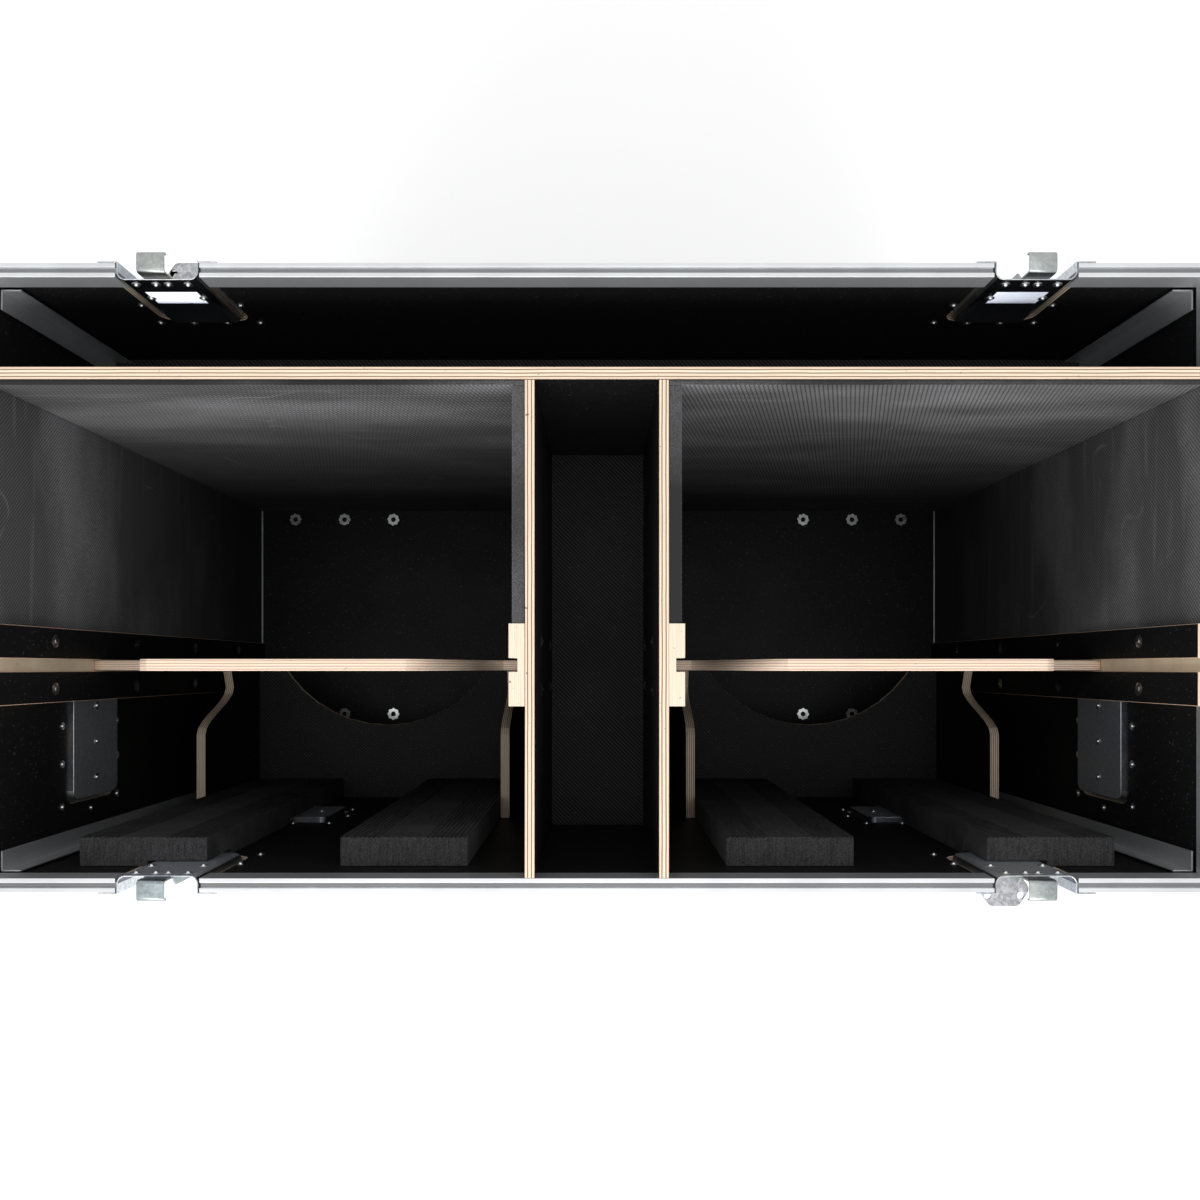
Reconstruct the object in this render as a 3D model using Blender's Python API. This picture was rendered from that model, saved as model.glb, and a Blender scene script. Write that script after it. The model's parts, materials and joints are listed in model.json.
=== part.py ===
# Lighting flight case, open at the top, with its lift-off lid away.
#
# A black plywood box on four swivel casters. Aluminium angle guards its edges and an aluminium
# closing profile runs round the rim. Recessed butterfly latches stand ready for the lid, and
# sprung handles lie in dishes in all four walls. Inside, a partition makes a shallow rear
# compartment and two dividers make a narrow centre bay. In each side bay a cradle with a round
# hole stands behind foam strips, foam lines the walls, and a retaining bar drops into upright
# slots over it.
#
# Metres, +Z up, origin on the ground under the middle of the case. The front is at -Y.

import bpy
import bmesh
from math import cos, pi, sin, tan
from mathutils import Matrix, Vector

mm = 0.001

# Driving dimensions of the whole case
case_length = 1200 * mm
case_depth = 600 * mm
inner_height = 765 * mm
wall_ply = 9.5 * mm
floor_ply = 9.5 * mm
seat_gap = 0.3 * mm
overrun = 4 * mm

# Casters
wheel_radius = 50 * mm
wheel_width = 36 * mm
caster_height = 128 * mm
caster_inset_x = 122 * mm
caster_inset_y = 91 * mm
caster_trail = 32 * mm
plate_size = 106 * mm
plate_thickness = 4 * mm
plate_corner = 8 * mm
swivel_radius = 31 * mm
swivel_head = 9 * mm
fork_sheet = 3.2 * mm
fork_clearance = 3 * mm
fork_foot_radius = 12 * mm
fork_crown_radius = 27 * mm
fork_reach_share = 0.5
axle_radius = 6 * mm
axle_clearance = 0.4 * mm
tread_round = 5 * mm
hub_radius = 17 * mm
hub_recess = 7 * mm
rim_band = 15 * mm

# Closing profile round the rim, and the edge angles
rim_leg = 1.8 * mm
rim_outer_drop = 30 * mm
rim_inner_drop = 26 * mm
rim_crown = 5.8 * mm
rim_groove_depth = 3.2 * mm
rim_groove_share = 0.36
angle_width = 30 * mm
angle_sheet = 1.5 * mm
ball_radius = 16 * mm
ball_proud = 7 * mm
ball_lobe = 52 * mm
ball_sheet = 1.5 * mm

# Boards inside
partition_ply = 12 * mm
partition_inset = 105 * mm
divider_x = 64 * mm
divider_ply = 9.5 * mm
rear_shelf_depth = 261 * mm
centre_shelf_depth = 337 * mm
shelf_ply = 9.5 * mm

# Slot rails and retaining bars
rail_thickness = 15.5 * mm
rail_width = 79 * mm
rail_inset = 217 * mm
slot_width = 13.2 * mm
slot_depth = 8.5 * mm
slot_stop_depth = 400 * mm
bar_ply = 12 * mm
bar_end_clearance = 0.6 * mm
bar_end_depth = 200 * mm
bar_crown_left_share = 0.30
bar_crown_right_share = 0.79
bar_shoulder_length = 74 * mm
bar_arch_inset = 62 * mm
bar_arch_rise = 95 * mm

# Cradles
deck_depth = 610 * mm
deck_ply = 9.5 * mm
deck_back_offset = 7 * mm
cheek_ply = 12 * mm
cradle_divider_gap = 62.25 * mm
cradle_wall_gap = 59.4 * mm
cradle_hole_offset = 102 * mm
cradle_hole_margin = 12 * mm
deck_housing = 4 * mm
cheek_front_depth = 395 * mm
cheek_dip_depth = 500 * mm
cheek_back_depth = 490 * mm
cheek_shelf_length = 112 * mm
cheek_curve_length = 62 * mm

# Foam
side_lining_thickness = 10 * mm
rear_lining_thickness = 5 * mm
divider_lining_thickness = 12 * mm
lining_top_clearance = 1 * mm
strip_thickness = 30 * mm
strip_width = 130 * mm
strip_top_depth = 68 * mm
pocket_clearance = 1 * mm
strip_cheek_gap = 1 * mm

# Butterfly latches
latch_inset = 181 * mm
latch_sheet = 1.2 * mm
latch_pan_width = 78 * mm
latch_pan_drop = 118 * mm
latch_pan_depth = 14.2 * mm
latch_pan_round = 8 * mm
latch_flange = 18 * mm
latch_flange_round = 10 * mm
latch_cut_width = 94 * mm
latch_cut_drop = 127 * mm
latch_cut_round = 18 * mm
latch_rim_clearance = 1 * mm
hook_width = 26 * mm
hook_sheet = 2 * mm
hook_side = 8 * mm
hook_side_drop = 60 * mm
hook_rise = 15 * mm
hook_reach = 18 * mm
hook_bend = 4 * mm
hook_lip_drop = 4 * mm
hook_travel = 10 * mm
spindle_drop = 78 * mm
spindle_radius = 6 * mm
spindle_clearance = 0.5 * mm
hook_tail = 5 * mm
stud_radius = 9 * mm
stud_drop = 45 * mm
stud_proud = 2.4 * mm
wing_sheet = 2.2 * mm
wing_width = 54 * mm
wing_reach = 33 * mm
wing_tip_width = 30 * mm
wing_heel = 9 * mm
wing_heel_round = 3.5 * mm
wing_round = 7 * mm
wing_hole_radius = 3.8 * mm
wing_hole_x = 17 * mm
wing_hole_reach = 22 * mm
wing_clearance = 0.8 * mm

# Sprung handles
handle_pan_width = 124 * mm
handle_pan_height = 100 * mm
handle_pan_depth = 16 * mm
handle_pan_round = 10 * mm
handle_sheet = 1.2 * mm
handle_flange = 23 * mm
handle_flange_round = 12 * mm
handle_cut_clearance = 5 * mm
handle_rod_radius = 4 * mm
handle_rod_bend = 11 * mm
handle_grip_radius = 6.5 * mm
handle_grip_length = 78 * mm
handle_side_gap = 8 * mm
handle_pivot_inset = 12 * mm
handle_bar_inset = 14 * mm
front_handle_inset = 182 * mm
front_handle_depth = 412 * mm
side_handle_inset = 129 * mm
side_handle_depth = 209 * mm

# Fineness of round forms
corner_steps = 4
curve_steps = 7
arch_steps = 20
wheel_steps = 24
tube_sides = 8
sleeve_steps = 12
pin_steps = 16
hole_steps = 40
lobe_steps = 24
sharp_angle = 0.6

# Planes worked out from the sizes
floor_low = caster_height
floor_top = floor_low + floor_ply
rim_top = floor_top + inner_height
half_length = case_length / 2
half_depth = case_depth / 2
ply_out = Vector((half_length - rim_leg - seat_gap, half_depth - rim_leg - seat_gap))
ply_in = ply_out - Vector((wall_ply, wall_ply))
leg_in = ply_in - Vector((seat_gap + rim_leg, seat_gap + rim_leg))
wall_top = rim_top - rim_crown - seat_gap
wall_low = floor_top + seat_gap
board_top = rim_top
board_low = floor_top + seat_gap
partition_y = half_depth - partition_inset
partition_front = partition_y - partition_ply / 2
partition_back = partition_y + partition_ply / 2
divider_outer = divider_x + divider_ply / 2
divider_inner = divider_x - divider_ply / 2
rail_y = rail_inset - half_depth
rail_low_y = rail_y - rail_width / 2
rail_high_y = rail_y + rail_width / 2
divider_rail_face = divider_outer + rail_thickness
wall_rail_face = ply_in.x - seat_gap - rail_thickness
slot_low = rim_top - slot_stop_depth
deck_top = rim_top - deck_depth
deck_back_y = rail_y - deck_back_offset
cradle_inner_x = divider_outer + cradle_divider_gap
cradle_outer_x = ply_in.x - cradle_wall_gap
cradle_middle_x = (cradle_inner_x + cradle_outer_x) / 2
cradle_hole_y = deck_back_y + cradle_hole_offset
cradle_hole_radius = cradle_outer_x - cradle_middle_x - cradle_hole_margin
caster_x = half_length - caster_inset_x
caster_y = half_depth - caster_inset_y
outer_strip_x = cradle_outer_x - strip_cheek_gap - strip_width
inner_strip_x = cradle_inner_x + strip_cheek_gap
latch_x = half_length - latch_inset
front_handle_x = half_length - front_handle_inset
side_handle_y = side_handle_inset - half_depth

for leftover in list(bpy.data.objects):
    bpy.data.objects.remove(leftover, do_unlink=True)


def finish(name, colour, roughness, metallic=0.0):
    """One Principled material, made once for each finish of each piece."""
    material = bpy.data.materials.new(name)
    material.use_nodes = True
    shader = material.node_tree.nodes["Principled BSDF"]
    shader.inputs["Base Color"].default_value = (*colour, 1.0)
    shader.inputs["Roughness"].default_value = roughness
    shader.inputs["Metallic"].default_value = metallic
    return material


def black_ply(name):
    return finish(name, (0.012, 0.012, 0.013), 0.45)


def bare_ply(name):
    return finish(name, (0.72, 0.56, 0.40), 0.7)


def aluminium(name):
    return finish(name, (0.77, 0.78, 0.80), 0.32, 1.0)


def zinc(name):
    return finish(name, (0.62, 0.66, 0.70), 0.3, 1.0)


def foam(name):
    return finish(name, (0.06, 0.06, 0.065), 0.95)


def rubber(name):
    return finish(name, (0.03, 0.03, 0.035), 0.8)


def make_object(name, bm, paint=None):
    """Turns a bmesh into an object with outward faces."""
    bmesh.ops.recalc_face_normals(bm, faces=bm.faces)
    mesh = bpy.data.meshes.new(name)
    bm.to_mesh(mesh)
    bm.free()
    piece = bpy.data.objects.new(name, mesh)
    bpy.context.collection.objects.link(piece)
    if paint:
        mesh.materials.append(paint(name))
    return piece


def prism(name, outline, low, high, along, paint=None):
    """Extrudes a flat outline along X, Y or Z. The outline's axes are the other two, in order."""
    spots = {
        "x": lambda a, b, c: (c, a, b),
        "y": lambda a, b, c: (a, c, b),
        "z": lambda a, b, c: (a, b, c),
    }[along]
    bm = bmesh.new()
    near = [bm.verts.new(spots(a, b, low)) for a, b in outline]
    far = [bm.verts.new(spots(a, b, high)) for a, b in outline]
    bm.faces.new(near)
    bm.faces.new(list(reversed(far)))
    for i in range(len(outline)):
        j = (i + 1) % len(outline)
        bm.faces.new((near[i], far[i], far[j], near[j]))
    return make_object(name, bm, paint)


def block(name, xs, ys, zs, paint=None):
    """A rectangular board or cutter between pairs of coordinates, given in any order."""
    x0, x1 = sorted(xs)
    y0, y1 = sorted(ys)
    z0, z1 = sorted(zs)
    return prism(name, [(x0, y0), (x1, y0), (x1, y1), (x0, y1)], z0, z1, "z", paint)


def filleted(corners, steps=corner_steps):
    """An outline from (a, b, radius) corners, with an arc wherever the radius isn't zero."""
    points = []
    count = len(corners)
    for i, (a, b, radius) in enumerate(corners):
        here = Vector((a, b))
        if not radius:
            points.append(tuple(here))
            continue
        to_last = (Vector(corners[i - 1][:2]) - here).normalized()
        to_next = (Vector(corners[(i + 1) % count][:2]) - here).normalized()
        half_angle = to_last.angle(to_next) / 2
        centre = here + (to_last + to_next).normalized() * (radius / sin(half_angle))
        start = here + to_last * (radius / tan(half_angle)) - centre
        end = here + to_next * (radius / tan(half_angle)) - centre
        sweep = start.angle_signed(end)
        for step in range(steps + 1):
            points.append(tuple(centre + Matrix.Rotation(-sweep * step / steps, 2) @ start))
    return points


def rounded_box_outline(half_a, half_b, radius, centre=(0, 0)):
    a, b = centre
    return filleted([
        (a - half_a, b - half_b, radius), (a + half_a, b - half_b, radius),
        (a + half_a, b + half_b, radius), (a - half_a, b + half_b, radius),
    ])


def s_curve(start, end, steps=curve_steps):
    """A smooth step between two points, level at both ends."""
    (a0, b0), (a1, b1) = start, end
    points = []
    for step in range(steps + 1):
        t = step / steps
        points.append((a0 + (a1 - a0) * t, b0 + (b1 - b0) * (1 - cos(pi * t)) / 2))
    return points


def turned(name, profile, steps, paint=None):
    """Turns a closed profile of (radius, y) points about the Y axis."""
    bm = bmesh.new()
    rings = []
    for step in range(steps):
        angle = 2 * pi * step / steps
        rings.append([bm.verts.new((r * cos(angle), y, r * sin(angle))) for r, y in profile])
    for i in range(steps):
        ring, following = rings[i], rings[(i + 1) % steps]
        for j in range(len(profile)):
            k = (j + 1) % len(profile)
            bm.faces.new((ring[j], ring[k], following[k], following[j]))
    return make_object(name, bm, paint)


def rod(name, path, radius, sides=tube_sides, paint=None):
    """A round bar along a path that lies in the XZ plane, with flat ends."""
    bm = bmesh.new()
    rings = []
    for i, point in enumerate(path):
        before = Vector(path[max(i - 1, 0)])
        after = Vector(path[min(i + 1, len(path) - 1)])
        heading = (after - before).normalized()
        side = Vector((-heading.y, heading.x))
        ring = []
        for k in range(sides):
            angle = 2 * pi * (k + 0.5) / sides
            shift = side * (radius * cos(angle))
            ring.append(bm.verts.new((point[0] + shift.x, radius * sin(angle), point[1] + shift.y)))
        rings.append(ring)
    for ring, following in zip(rings, rings[1:]):
        for k in range(sides):
            m = (k + 1) % sides
            bm.faces.new((ring[k], ring[m], following[m], following[k]))
    bm.faces.new(rings[0])
    bm.faces.new(list(reversed(rings[-1])))
    return make_object(name, bm, paint)


def drum(name, radius, low, high, along, centre=(0, 0), steps=pin_steps, paint=None):
    """A solid cylinder."""
    outline = [
        (centre[0] + radius * cos(2 * pi * k / steps), centre[1] + radius * sin(2 * pi * k / steps))
        for k in range(steps)
    ]
    return prism(name, outline, low, high, along, paint)


def combine(piece, other, operation):
    """A live exact Boolean; the other object becomes a hidden wire shape."""
    modifier = piece.modifiers.new(operation.title(), "BOOLEAN")
    modifier.operation = operation
    modifier.solver = "EXACT"
    modifier.object = other
    modifier.use_self = operation == "UNION"
    other.hide_render = True
    other.display_type = "WIRE"
    return piece


def cut(piece, cutter):
    return combine(piece, cutter, "DIFFERENCE")


def weld(piece, part):
    return combine(piece, part, "UNION")


def smooth(piece, sharp_from=sharp_angle):
    piece.data.shade_smooth()
    piece.data.set_sharp_from_angle(angle=sharp_from)
    return piece


# The four walls. A wall's fittings are modelled facing the front, with -Y outwards, X along
# the wall and the origin on the outer face of the ply, then turned to their own wall.
WALLS = {
    "front": (0.0, ply_out.y),
    "rear": (pi, ply_out.y),
    "left": (-pi / 2, ply_out.x),
    "right": (pi / 2, ply_out.x),
}


def hang_on(piece, wall, along, z):
    """Sets a fitting on its wall. The distance along the wall is in the case's own X or Y."""
    turn, distance = WALLS[wall]
    outward = Matrix.Rotation(turn, 3, "Z") @ Vector((0, -1, 0))
    place = outward * distance
    if wall in ("front", "rear"):
        place.x = along
    else:
        place.y = along
    piece.location = (place.x, place.y, z)
    piece.rotation_euler = (0, 0, turn)
    return piece


# Shell


def make_floor_panel():
    """The floor board with the four caster top plates fixed under it."""
    floor = block("floor_panel", (-ply_out.x, ply_out.x), (-ply_out.y, ply_out.y),
                  (floor_low, floor_top), black_ply)
    half = plate_size / 2
    for x in (-caster_x, caster_x):
        for y in (-caster_y, caster_y):
            outline = rounded_box_outline(half, half, plate_corner, (x, y))
            plate = prism("caster_plate", outline, floor_low - plate_thickness,
                          floor_low + seat_gap, "z")
            weld(floor, plate)
    return floor


def make_wall(wall, low, high, latch_places, handle_places):
    """One wall board, with the openings for its latches and handles."""
    board = block(wall + "_wall", low, high, (wall_low, wall_top), black_ply)
    half_cut = latch_cut_width / 2
    for along in latch_places:
        outline = filleted([
            (-half_cut, -latch_cut_drop, latch_cut_round),
            (half_cut, -latch_cut_drop, latch_cut_round),
            (half_cut, overrun, 0), (-half_cut, overrun, 0),
        ])
        opening = prism(wall + "_latch_opening", outline, -overrun, wall_ply + overrun, "y")
        cut(board, hang_on(opening, wall, along, rim_top))
    reach = handle_cut_clearance
    for along, depth in handle_places:
        outline = rounded_box_outline(handle_pan_width / 2 + reach, handle_pan_height / 2 + reach,
                                      handle_pan_round + reach)
        opening = prism(wall + "_handle_opening", outline, -overrun, wall_ply + overrun, "y")
        cut(board, hang_on(opening, wall, along, rim_top - depth))
    return board


def rim_section():
    """Outline of the closing profile: distance in from the outer face, and drop from the top."""
    width = rim_leg + seat_gap + wall_ply + seat_gap + rim_leg
    groove_start = width * (1 - rim_groove_share) / 2
    groove_end = width * (1 + rim_groove_share) / 2
    return [
        (0, 0), (0, rim_outer_drop), (rim_leg, rim_outer_drop), (rim_leg, rim_crown),
        (width - rim_leg, rim_crown), (width - rim_leg, rim_inner_drop), (width, rim_inner_drop),
        (width, 0), (groove_end, 0), (groove_end, rim_groove_depth),
        (groove_start, rim_groove_depth), (groove_start, 0),
    ]


def make_rim_length(name, start_x, end_x, side):
    """A straight length of the closing profile on the front (-1) or rear (+1) wall."""
    outline = [(side * (half_depth - inset), rim_top - drop) for inset, drop in rim_section()]
    return prism(name, outline, start_x, end_x, "x", aluminium)


def make_rim_end(name, side):
    """The closing profile round one end of the case: two mitred corners between latch dishes."""
    section = rim_section()
    stop_x = latch_x + latch_pan_width / 2 + latch_rim_clearance
    bm = bmesh.new()
    rings = []
    for x_kind, y_side in (("stop", -1), ("end", -1), ("end", 1), ("stop", 1)):
        ring = []
        for inset, drop in section:
            x = stop_x if x_kind == "stop" else half_length - inset
            ring.append(bm.verts.new((side * x, y_side * (half_depth - inset), rim_top - drop)))
        rings.append(ring)
    count = len(section)
    for ring, following in zip(rings, rings[1:]):
        for j in range(count):
            k = (j + 1) % count
            bm.faces.new((ring[j], ring[k], following[k], following[j]))
    bm.faces.new(rings[0])
    bm.faces.new(list(reversed(rings[-1])))
    return make_object(name, bm, aluminium)


def make_outer_frame():
    """Edge angles along the bottom and up the four corners, with the ball corners on them."""
    skin = seat_gap + angle_sheet
    out = ply_out + Vector((skin, skin))
    inside = ply_out + Vector((seat_gap, seat_gap))
    low = floor_low - skin
    high = rim_top - rim_outer_drop - seat_gap
    frame = block("outer_frame", (-out.x, out.x), (-out.y, out.y), (low, high), aluminium)
    leg = out - Vector((angle_width, angle_width))
    window_low = low + angle_width
    top = high + overrun
    across_x = block("frame_side_windows", (-out.x - overrun, out.x + overrun), (-leg.y, leg.y),
                     (window_low, top))
    across_y = block("frame_front_windows", (-leg.x, leg.x), (-out.y - overrun, out.y + overrun),
                     (window_low, top))
    under = block("frame_floor_window", (-leg.x, leg.x), (-leg.y, leg.y), (low - overrun, top))
    for window in (across_x, across_y, under):
        cut(frame, window)
    for side_x in (-1, 1):
        for side_y in (-1, 1):
            corner = (side_x * out.x, side_y * out.y)
            weld(frame, make_ball_corner(corner, side_x, side_y, low))
    hollow = block("frame_hollow", (-inside.x, inside.x), (-inside.y, inside.y),
                   (floor_low - seat_gap, top))
    return cut(frame, hollow)


def ball(name, radius, centre, segments):
    bm = bmesh.new()
    bmesh.ops.create_uvsphere(bm, u_segments=segments, v_segments=segments // 2, radius=radius)
    bmesh.ops.translate(bm, verts=bm.verts, vec=centre)
    return make_object(name, bm)


def make_ball_corner(corner, side_x, side_y, low):
    """A pressed corner: a round-edged lobe on each of the three faces, and a ball on the point."""
    x, y = corner
    thick = ball_sheet
    cap = block("corner_cap", (x + side_x * thick, x - side_x * ball_lobe),
                (y + side_y * thick, y - side_y * ball_lobe), (low - thick, low + ball_lobe))
    combine(cap, ball("corner_lobes", ball_lobe, (x, y, low), lobe_steps), "INTERSECT")
    inset = ball_radius - ball_proud
    point = (x - side_x * inset, y - side_y * inset, low + inset)
    return weld(cap, ball("corner_ball", ball_radius, point, pin_steps))


# Boards inside


def notched(outer, top, low, drop, notch):
    """Upright outline of a board between two ply walls, cleared round the rim's inner legs."""
    edge = outer - notch
    return [
        (-outer, low), (outer, low), (outer, top - drop), (edge, top - drop), (edge, top),
        (-edge, top), (-edge, top - drop), (-outer, top - drop),
    ]


def make_partition():
    notch = rim_leg + seat_gap
    outline = notched(ply_in.x - seat_gap, board_top, board_low, rim_inner_drop + seat_gap, notch)
    return prism("rear_partition", outline, partition_front, partition_back, "y", bare_ply)


def make_divider(name, side):
    """A divider from the partition to the front wall, with its slot rail glued on."""
    front = -(ply_in.y - seat_gap)
    edge = front + rim_leg + seat_gap
    back = partition_front - seat_gap
    step = board_top - rim_inner_drop - seat_gap
    outline = [(front, board_low), (back, board_low), (back, board_top), (edge, board_top),
               (edge, step), (front, step)]
    inner, outer = sorted((side * divider_inner, side * divider_outer))
    divider = prism(name, outline, inner, outer, "x", bare_ply)
    rail = block(name + "_rail", (side * (divider_outer - seat_gap), side * divider_rail_face),
                 (rail_low_y, rail_high_y), (board_low, board_top))
    weld(divider, rail)
    return cut(divider, slot_cutter(name + "_slot", side * divider_rail_face, -side))


def slot_cutter(name, face, into):
    """The upright slot in a rail's face: into is -1 or +1, the way the slot is cut along X."""
    return block(name, (face - into * overrun, face + into * slot_depth),
                 (rail_y - slot_width / 2, rail_y + slot_width / 2),
                 (slot_low, board_top + overrun))


def make_wall_rail(name, side):
    """The slot plank on a side wall, cleared round the rim's inner leg."""
    back = ply_in.x - seat_gap
    edge = leg_in.x - seat_gap
    step = board_top - rim_inner_drop - seat_gap
    outline = [(side * wall_rail_face, board_low), (side * back, board_low), (side * back, step),
               (side * edge, step), (side * edge, board_top), (side * wall_rail_face, board_top)]
    plank = prism(name, outline, rail_low_y, rail_high_y, "y", black_ply)
    cut(plank, slot_cutter(name + "_slot", side * wall_rail_face, side))
    room = pocket_clearance
    half_width = handle_pan_width / 2 + room
    half_height = handle_pan_height / 2 + room
    centre = rim_top - side_handle_depth
    pocket = block(name + "_pocket",
                   (side * (ply_out.x - handle_pan_depth - room), side * (back + overrun)),
                   (side_handle_y - half_width, side_handle_y + half_width),
                   (centre - half_height, centre + half_height))
    return cut(plank, pocket)


def make_rear_shelf():
    top = rim_top - rear_shelf_depth
    return block("rear_shelf", (-(ply_in.x - seat_gap), ply_in.x - seat_gap),
                 (partition_back + seat_gap, ply_in.y - seat_gap), (top - shelf_ply, top), black_ply)


def make_centre_shelf():
    top = rim_top - centre_shelf_depth
    half = divider_inner - seat_gap
    return block("centre_shelf", (-half, half), (-(ply_in.y - seat_gap), partition_front - seat_gap),
                 (top - shelf_ply, top), black_ply)


def make_bar(name, side):
    """A retaining bar: raised in the middle, arched below, its ends in the slots."""
    inner = divider_rail_face - slot_depth + bar_end_clearance
    outer = wall_rail_face + slot_depth - bar_end_clearance
    length = outer - inner
    low = slot_low + seat_gap
    shoulder = rim_top - bar_end_depth
    crown_out = outer - length * bar_crown_left_share
    crown_in = outer - length * bar_crown_right_share
    top = s_curve((crown_out + bar_shoulder_length, shoulder), (crown_out, rim_top))
    top += s_curve((crown_in, rim_top), (crown_in - bar_shoulder_length, shoulder))
    middle = (outer + inner) / 2
    half_arch = length / 2 - bar_arch_inset
    arch = []
    for step in range(arch_steps + 1):
        t = 2 * step / arch_steps - 1
        arch.append((middle + half_arch * t, low + bar_arch_rise * cos(pi * t / 2)))
    outline = [(inner, low)] + arch + [(outer, low), (outer, shoulder)] + top + [(inner, shoulder)]
    outline = [(side * x, z) for x, z in outline]
    half = bar_ply / 2
    return prism(name, outline, rail_y - half, rail_y + half, "y", bare_ply)


def cheek_outline():
    """Side view of a cradle cheek: high at the front, an S-curve down to a dip at the back."""
    front = -(ply_in.y - seat_gap)
    shelf_end = front + cheek_shelf_length
    dip = shelf_end + cheek_curve_length
    back = deck_back_y
    high = rim_top - cheek_front_depth
    top = [(front, high)] + s_curve((shelf_end, high), (dip, rim_top - cheek_dip_depth))
    top += [(back, rim_top - cheek_back_depth)]
    return top + [(back, board_low), (front, board_low)]


def make_cradle(name, side):
    """A bay's cradle: a deck with a round hole, housed in two cheeks."""
    housing = deck_housing
    inner = cradle_inner_x - housing
    outer = cradle_outer_x + housing
    deck = block(name, (side * inner, side * outer), (-(ply_in.y - seat_gap), deck_back_y),
                 (deck_top - deck_ply, deck_top), black_ply)
    hole = drum(name + "_hole", cradle_hole_radius, deck_top - deck_ply - overrun,
                deck_top + overrun, "z", (side * cradle_middle_x, cradle_hole_y), hole_steps)
    cut(deck, hole)
    for face, away in ((cradle_inner_x, -1), (cradle_outer_x, 1)):
        low, high = sorted((side * face, side * (face + away * cheek_ply)))
        weld(deck, prism(name + "_cheek", cheek_outline(), low, high, "x"))
    return deck


# Foam


def make_lining(name, side):
    """Foam on three sides of a bay: the side wall, the partition and the divider."""
    wall = ply_in.x - seat_gap
    board = divider_outer + seat_gap
    back = partition_front - seat_gap
    front = rail_high_y + seat_gap
    face = back - rear_lining_thickness
    outline = [
        (wall, front), (wall, back), (board, back), (board, front),
        (board + divider_lining_thickness, front), (board + divider_lining_thickness, face),
        (wall - side_lining_thickness, face), (wall - side_lining_thickness, front),
    ]
    outline = [(side * x, y) for x, y in outline]
    lining = prism(name, outline, board_low, board_top - lining_top_clearance, "z", foam)
    step = rim_top - rim_inner_drop - seat_gap
    return cut(lining, block(name + "_rim_step",
                             (side * (leg_in.x - seat_gap), side * (wall + overrun)),
                             (front - overrun, back + overrun), (step, board_top + overrun)))


def strip_pocket(name, centre_x, centre_z, half_width, half_height, depth):
    """The room that a dish takes in the back of a strip, with a clearance all round."""
    room = pocket_clearance
    back = -(ply_in.y - seat_gap)
    return block(name, (centre_x - half_width - room, centre_x + half_width + room),
                 (back - overrun, -(ply_out.y - depth - room)),
                 (centre_z - half_height - room, centre_z + half_height + room))


def make_strip(name, start, side):
    """A thick upright foam strip on the front wall, with pockets for the dishes behind it."""
    back = -(ply_in.y - seat_gap)
    strip = block(name, (side * start, side * (start + strip_width)),
                  (back, back + strip_thickness), (deck_top + seat_gap, rim_top - strip_top_depth),
                  foam)
    first_pan = min(latch_x - latch_pan_width / 2, front_handle_x - handle_pan_width / 2)
    if start + strip_width < first_pan - pocket_clearance:
        return strip
    half_drop = latch_pan_drop / 2
    cut(strip, strip_pocket(name + "_latch_pocket", side * latch_x, rim_top - half_drop,
                            latch_pan_width / 2, half_drop, latch_pan_depth))
    return cut(strip, strip_pocket(name + "_handle_pocket", side * front_handle_x,
                                   rim_top - front_handle_depth, handle_pan_width / 2,
                                   handle_pan_height / 2, handle_pan_depth))


# Latches


def make_latch_dish(name, wall, along):
    """A pressed steel dish let into the wall, open at the top, with its flange outside."""
    flange_face = -(rim_leg + seat_gap) - seat_gap
    sheet = latch_sheet
    half = latch_pan_width / 2
    half_flange = half + latch_flange
    flange_outline = filleted([
        (-half_flange, -latch_pan_drop - latch_flange, latch_flange_round),
        (half_flange, -latch_pan_drop - latch_flange, latch_flange_round),
        (half_flange, 0, 0), (-half_flange, 0, 0),
    ])
    dish = prism(name, flange_outline, flange_face - sheet, flange_face, "y", zinc)
    back = latch_pan_depth
    front = flange_face - sheet
    pan_outline = filleted([
        (-half, flange_face - sheet / 2, 0), (half, flange_face - sheet / 2, 0),
        (half, back, latch_pan_round), (-half, back, latch_pan_round),
    ])
    pan = prism(name + "_pan", pan_outline, -latch_pan_drop, 0, "z")
    room = half - sheet
    hollow_outline = filleted([
        (-room, front - overrun, 0), (room, front - overrun, 0),
        (room, back - sheet, latch_pan_round - sheet), (-room, back - sheet, latch_pan_round - sheet),
    ])
    hollow = prism(name + "_hollow", hollow_outline, sheet - latch_pan_drop, overrun, "z")
    for helper in (pan, hollow):
        hang_on(helper, wall, along, rim_top)
    weld(dish, pan)
    cut(dish, hollow)
    return hang_on(dish, wall, along, rim_top)


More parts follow.
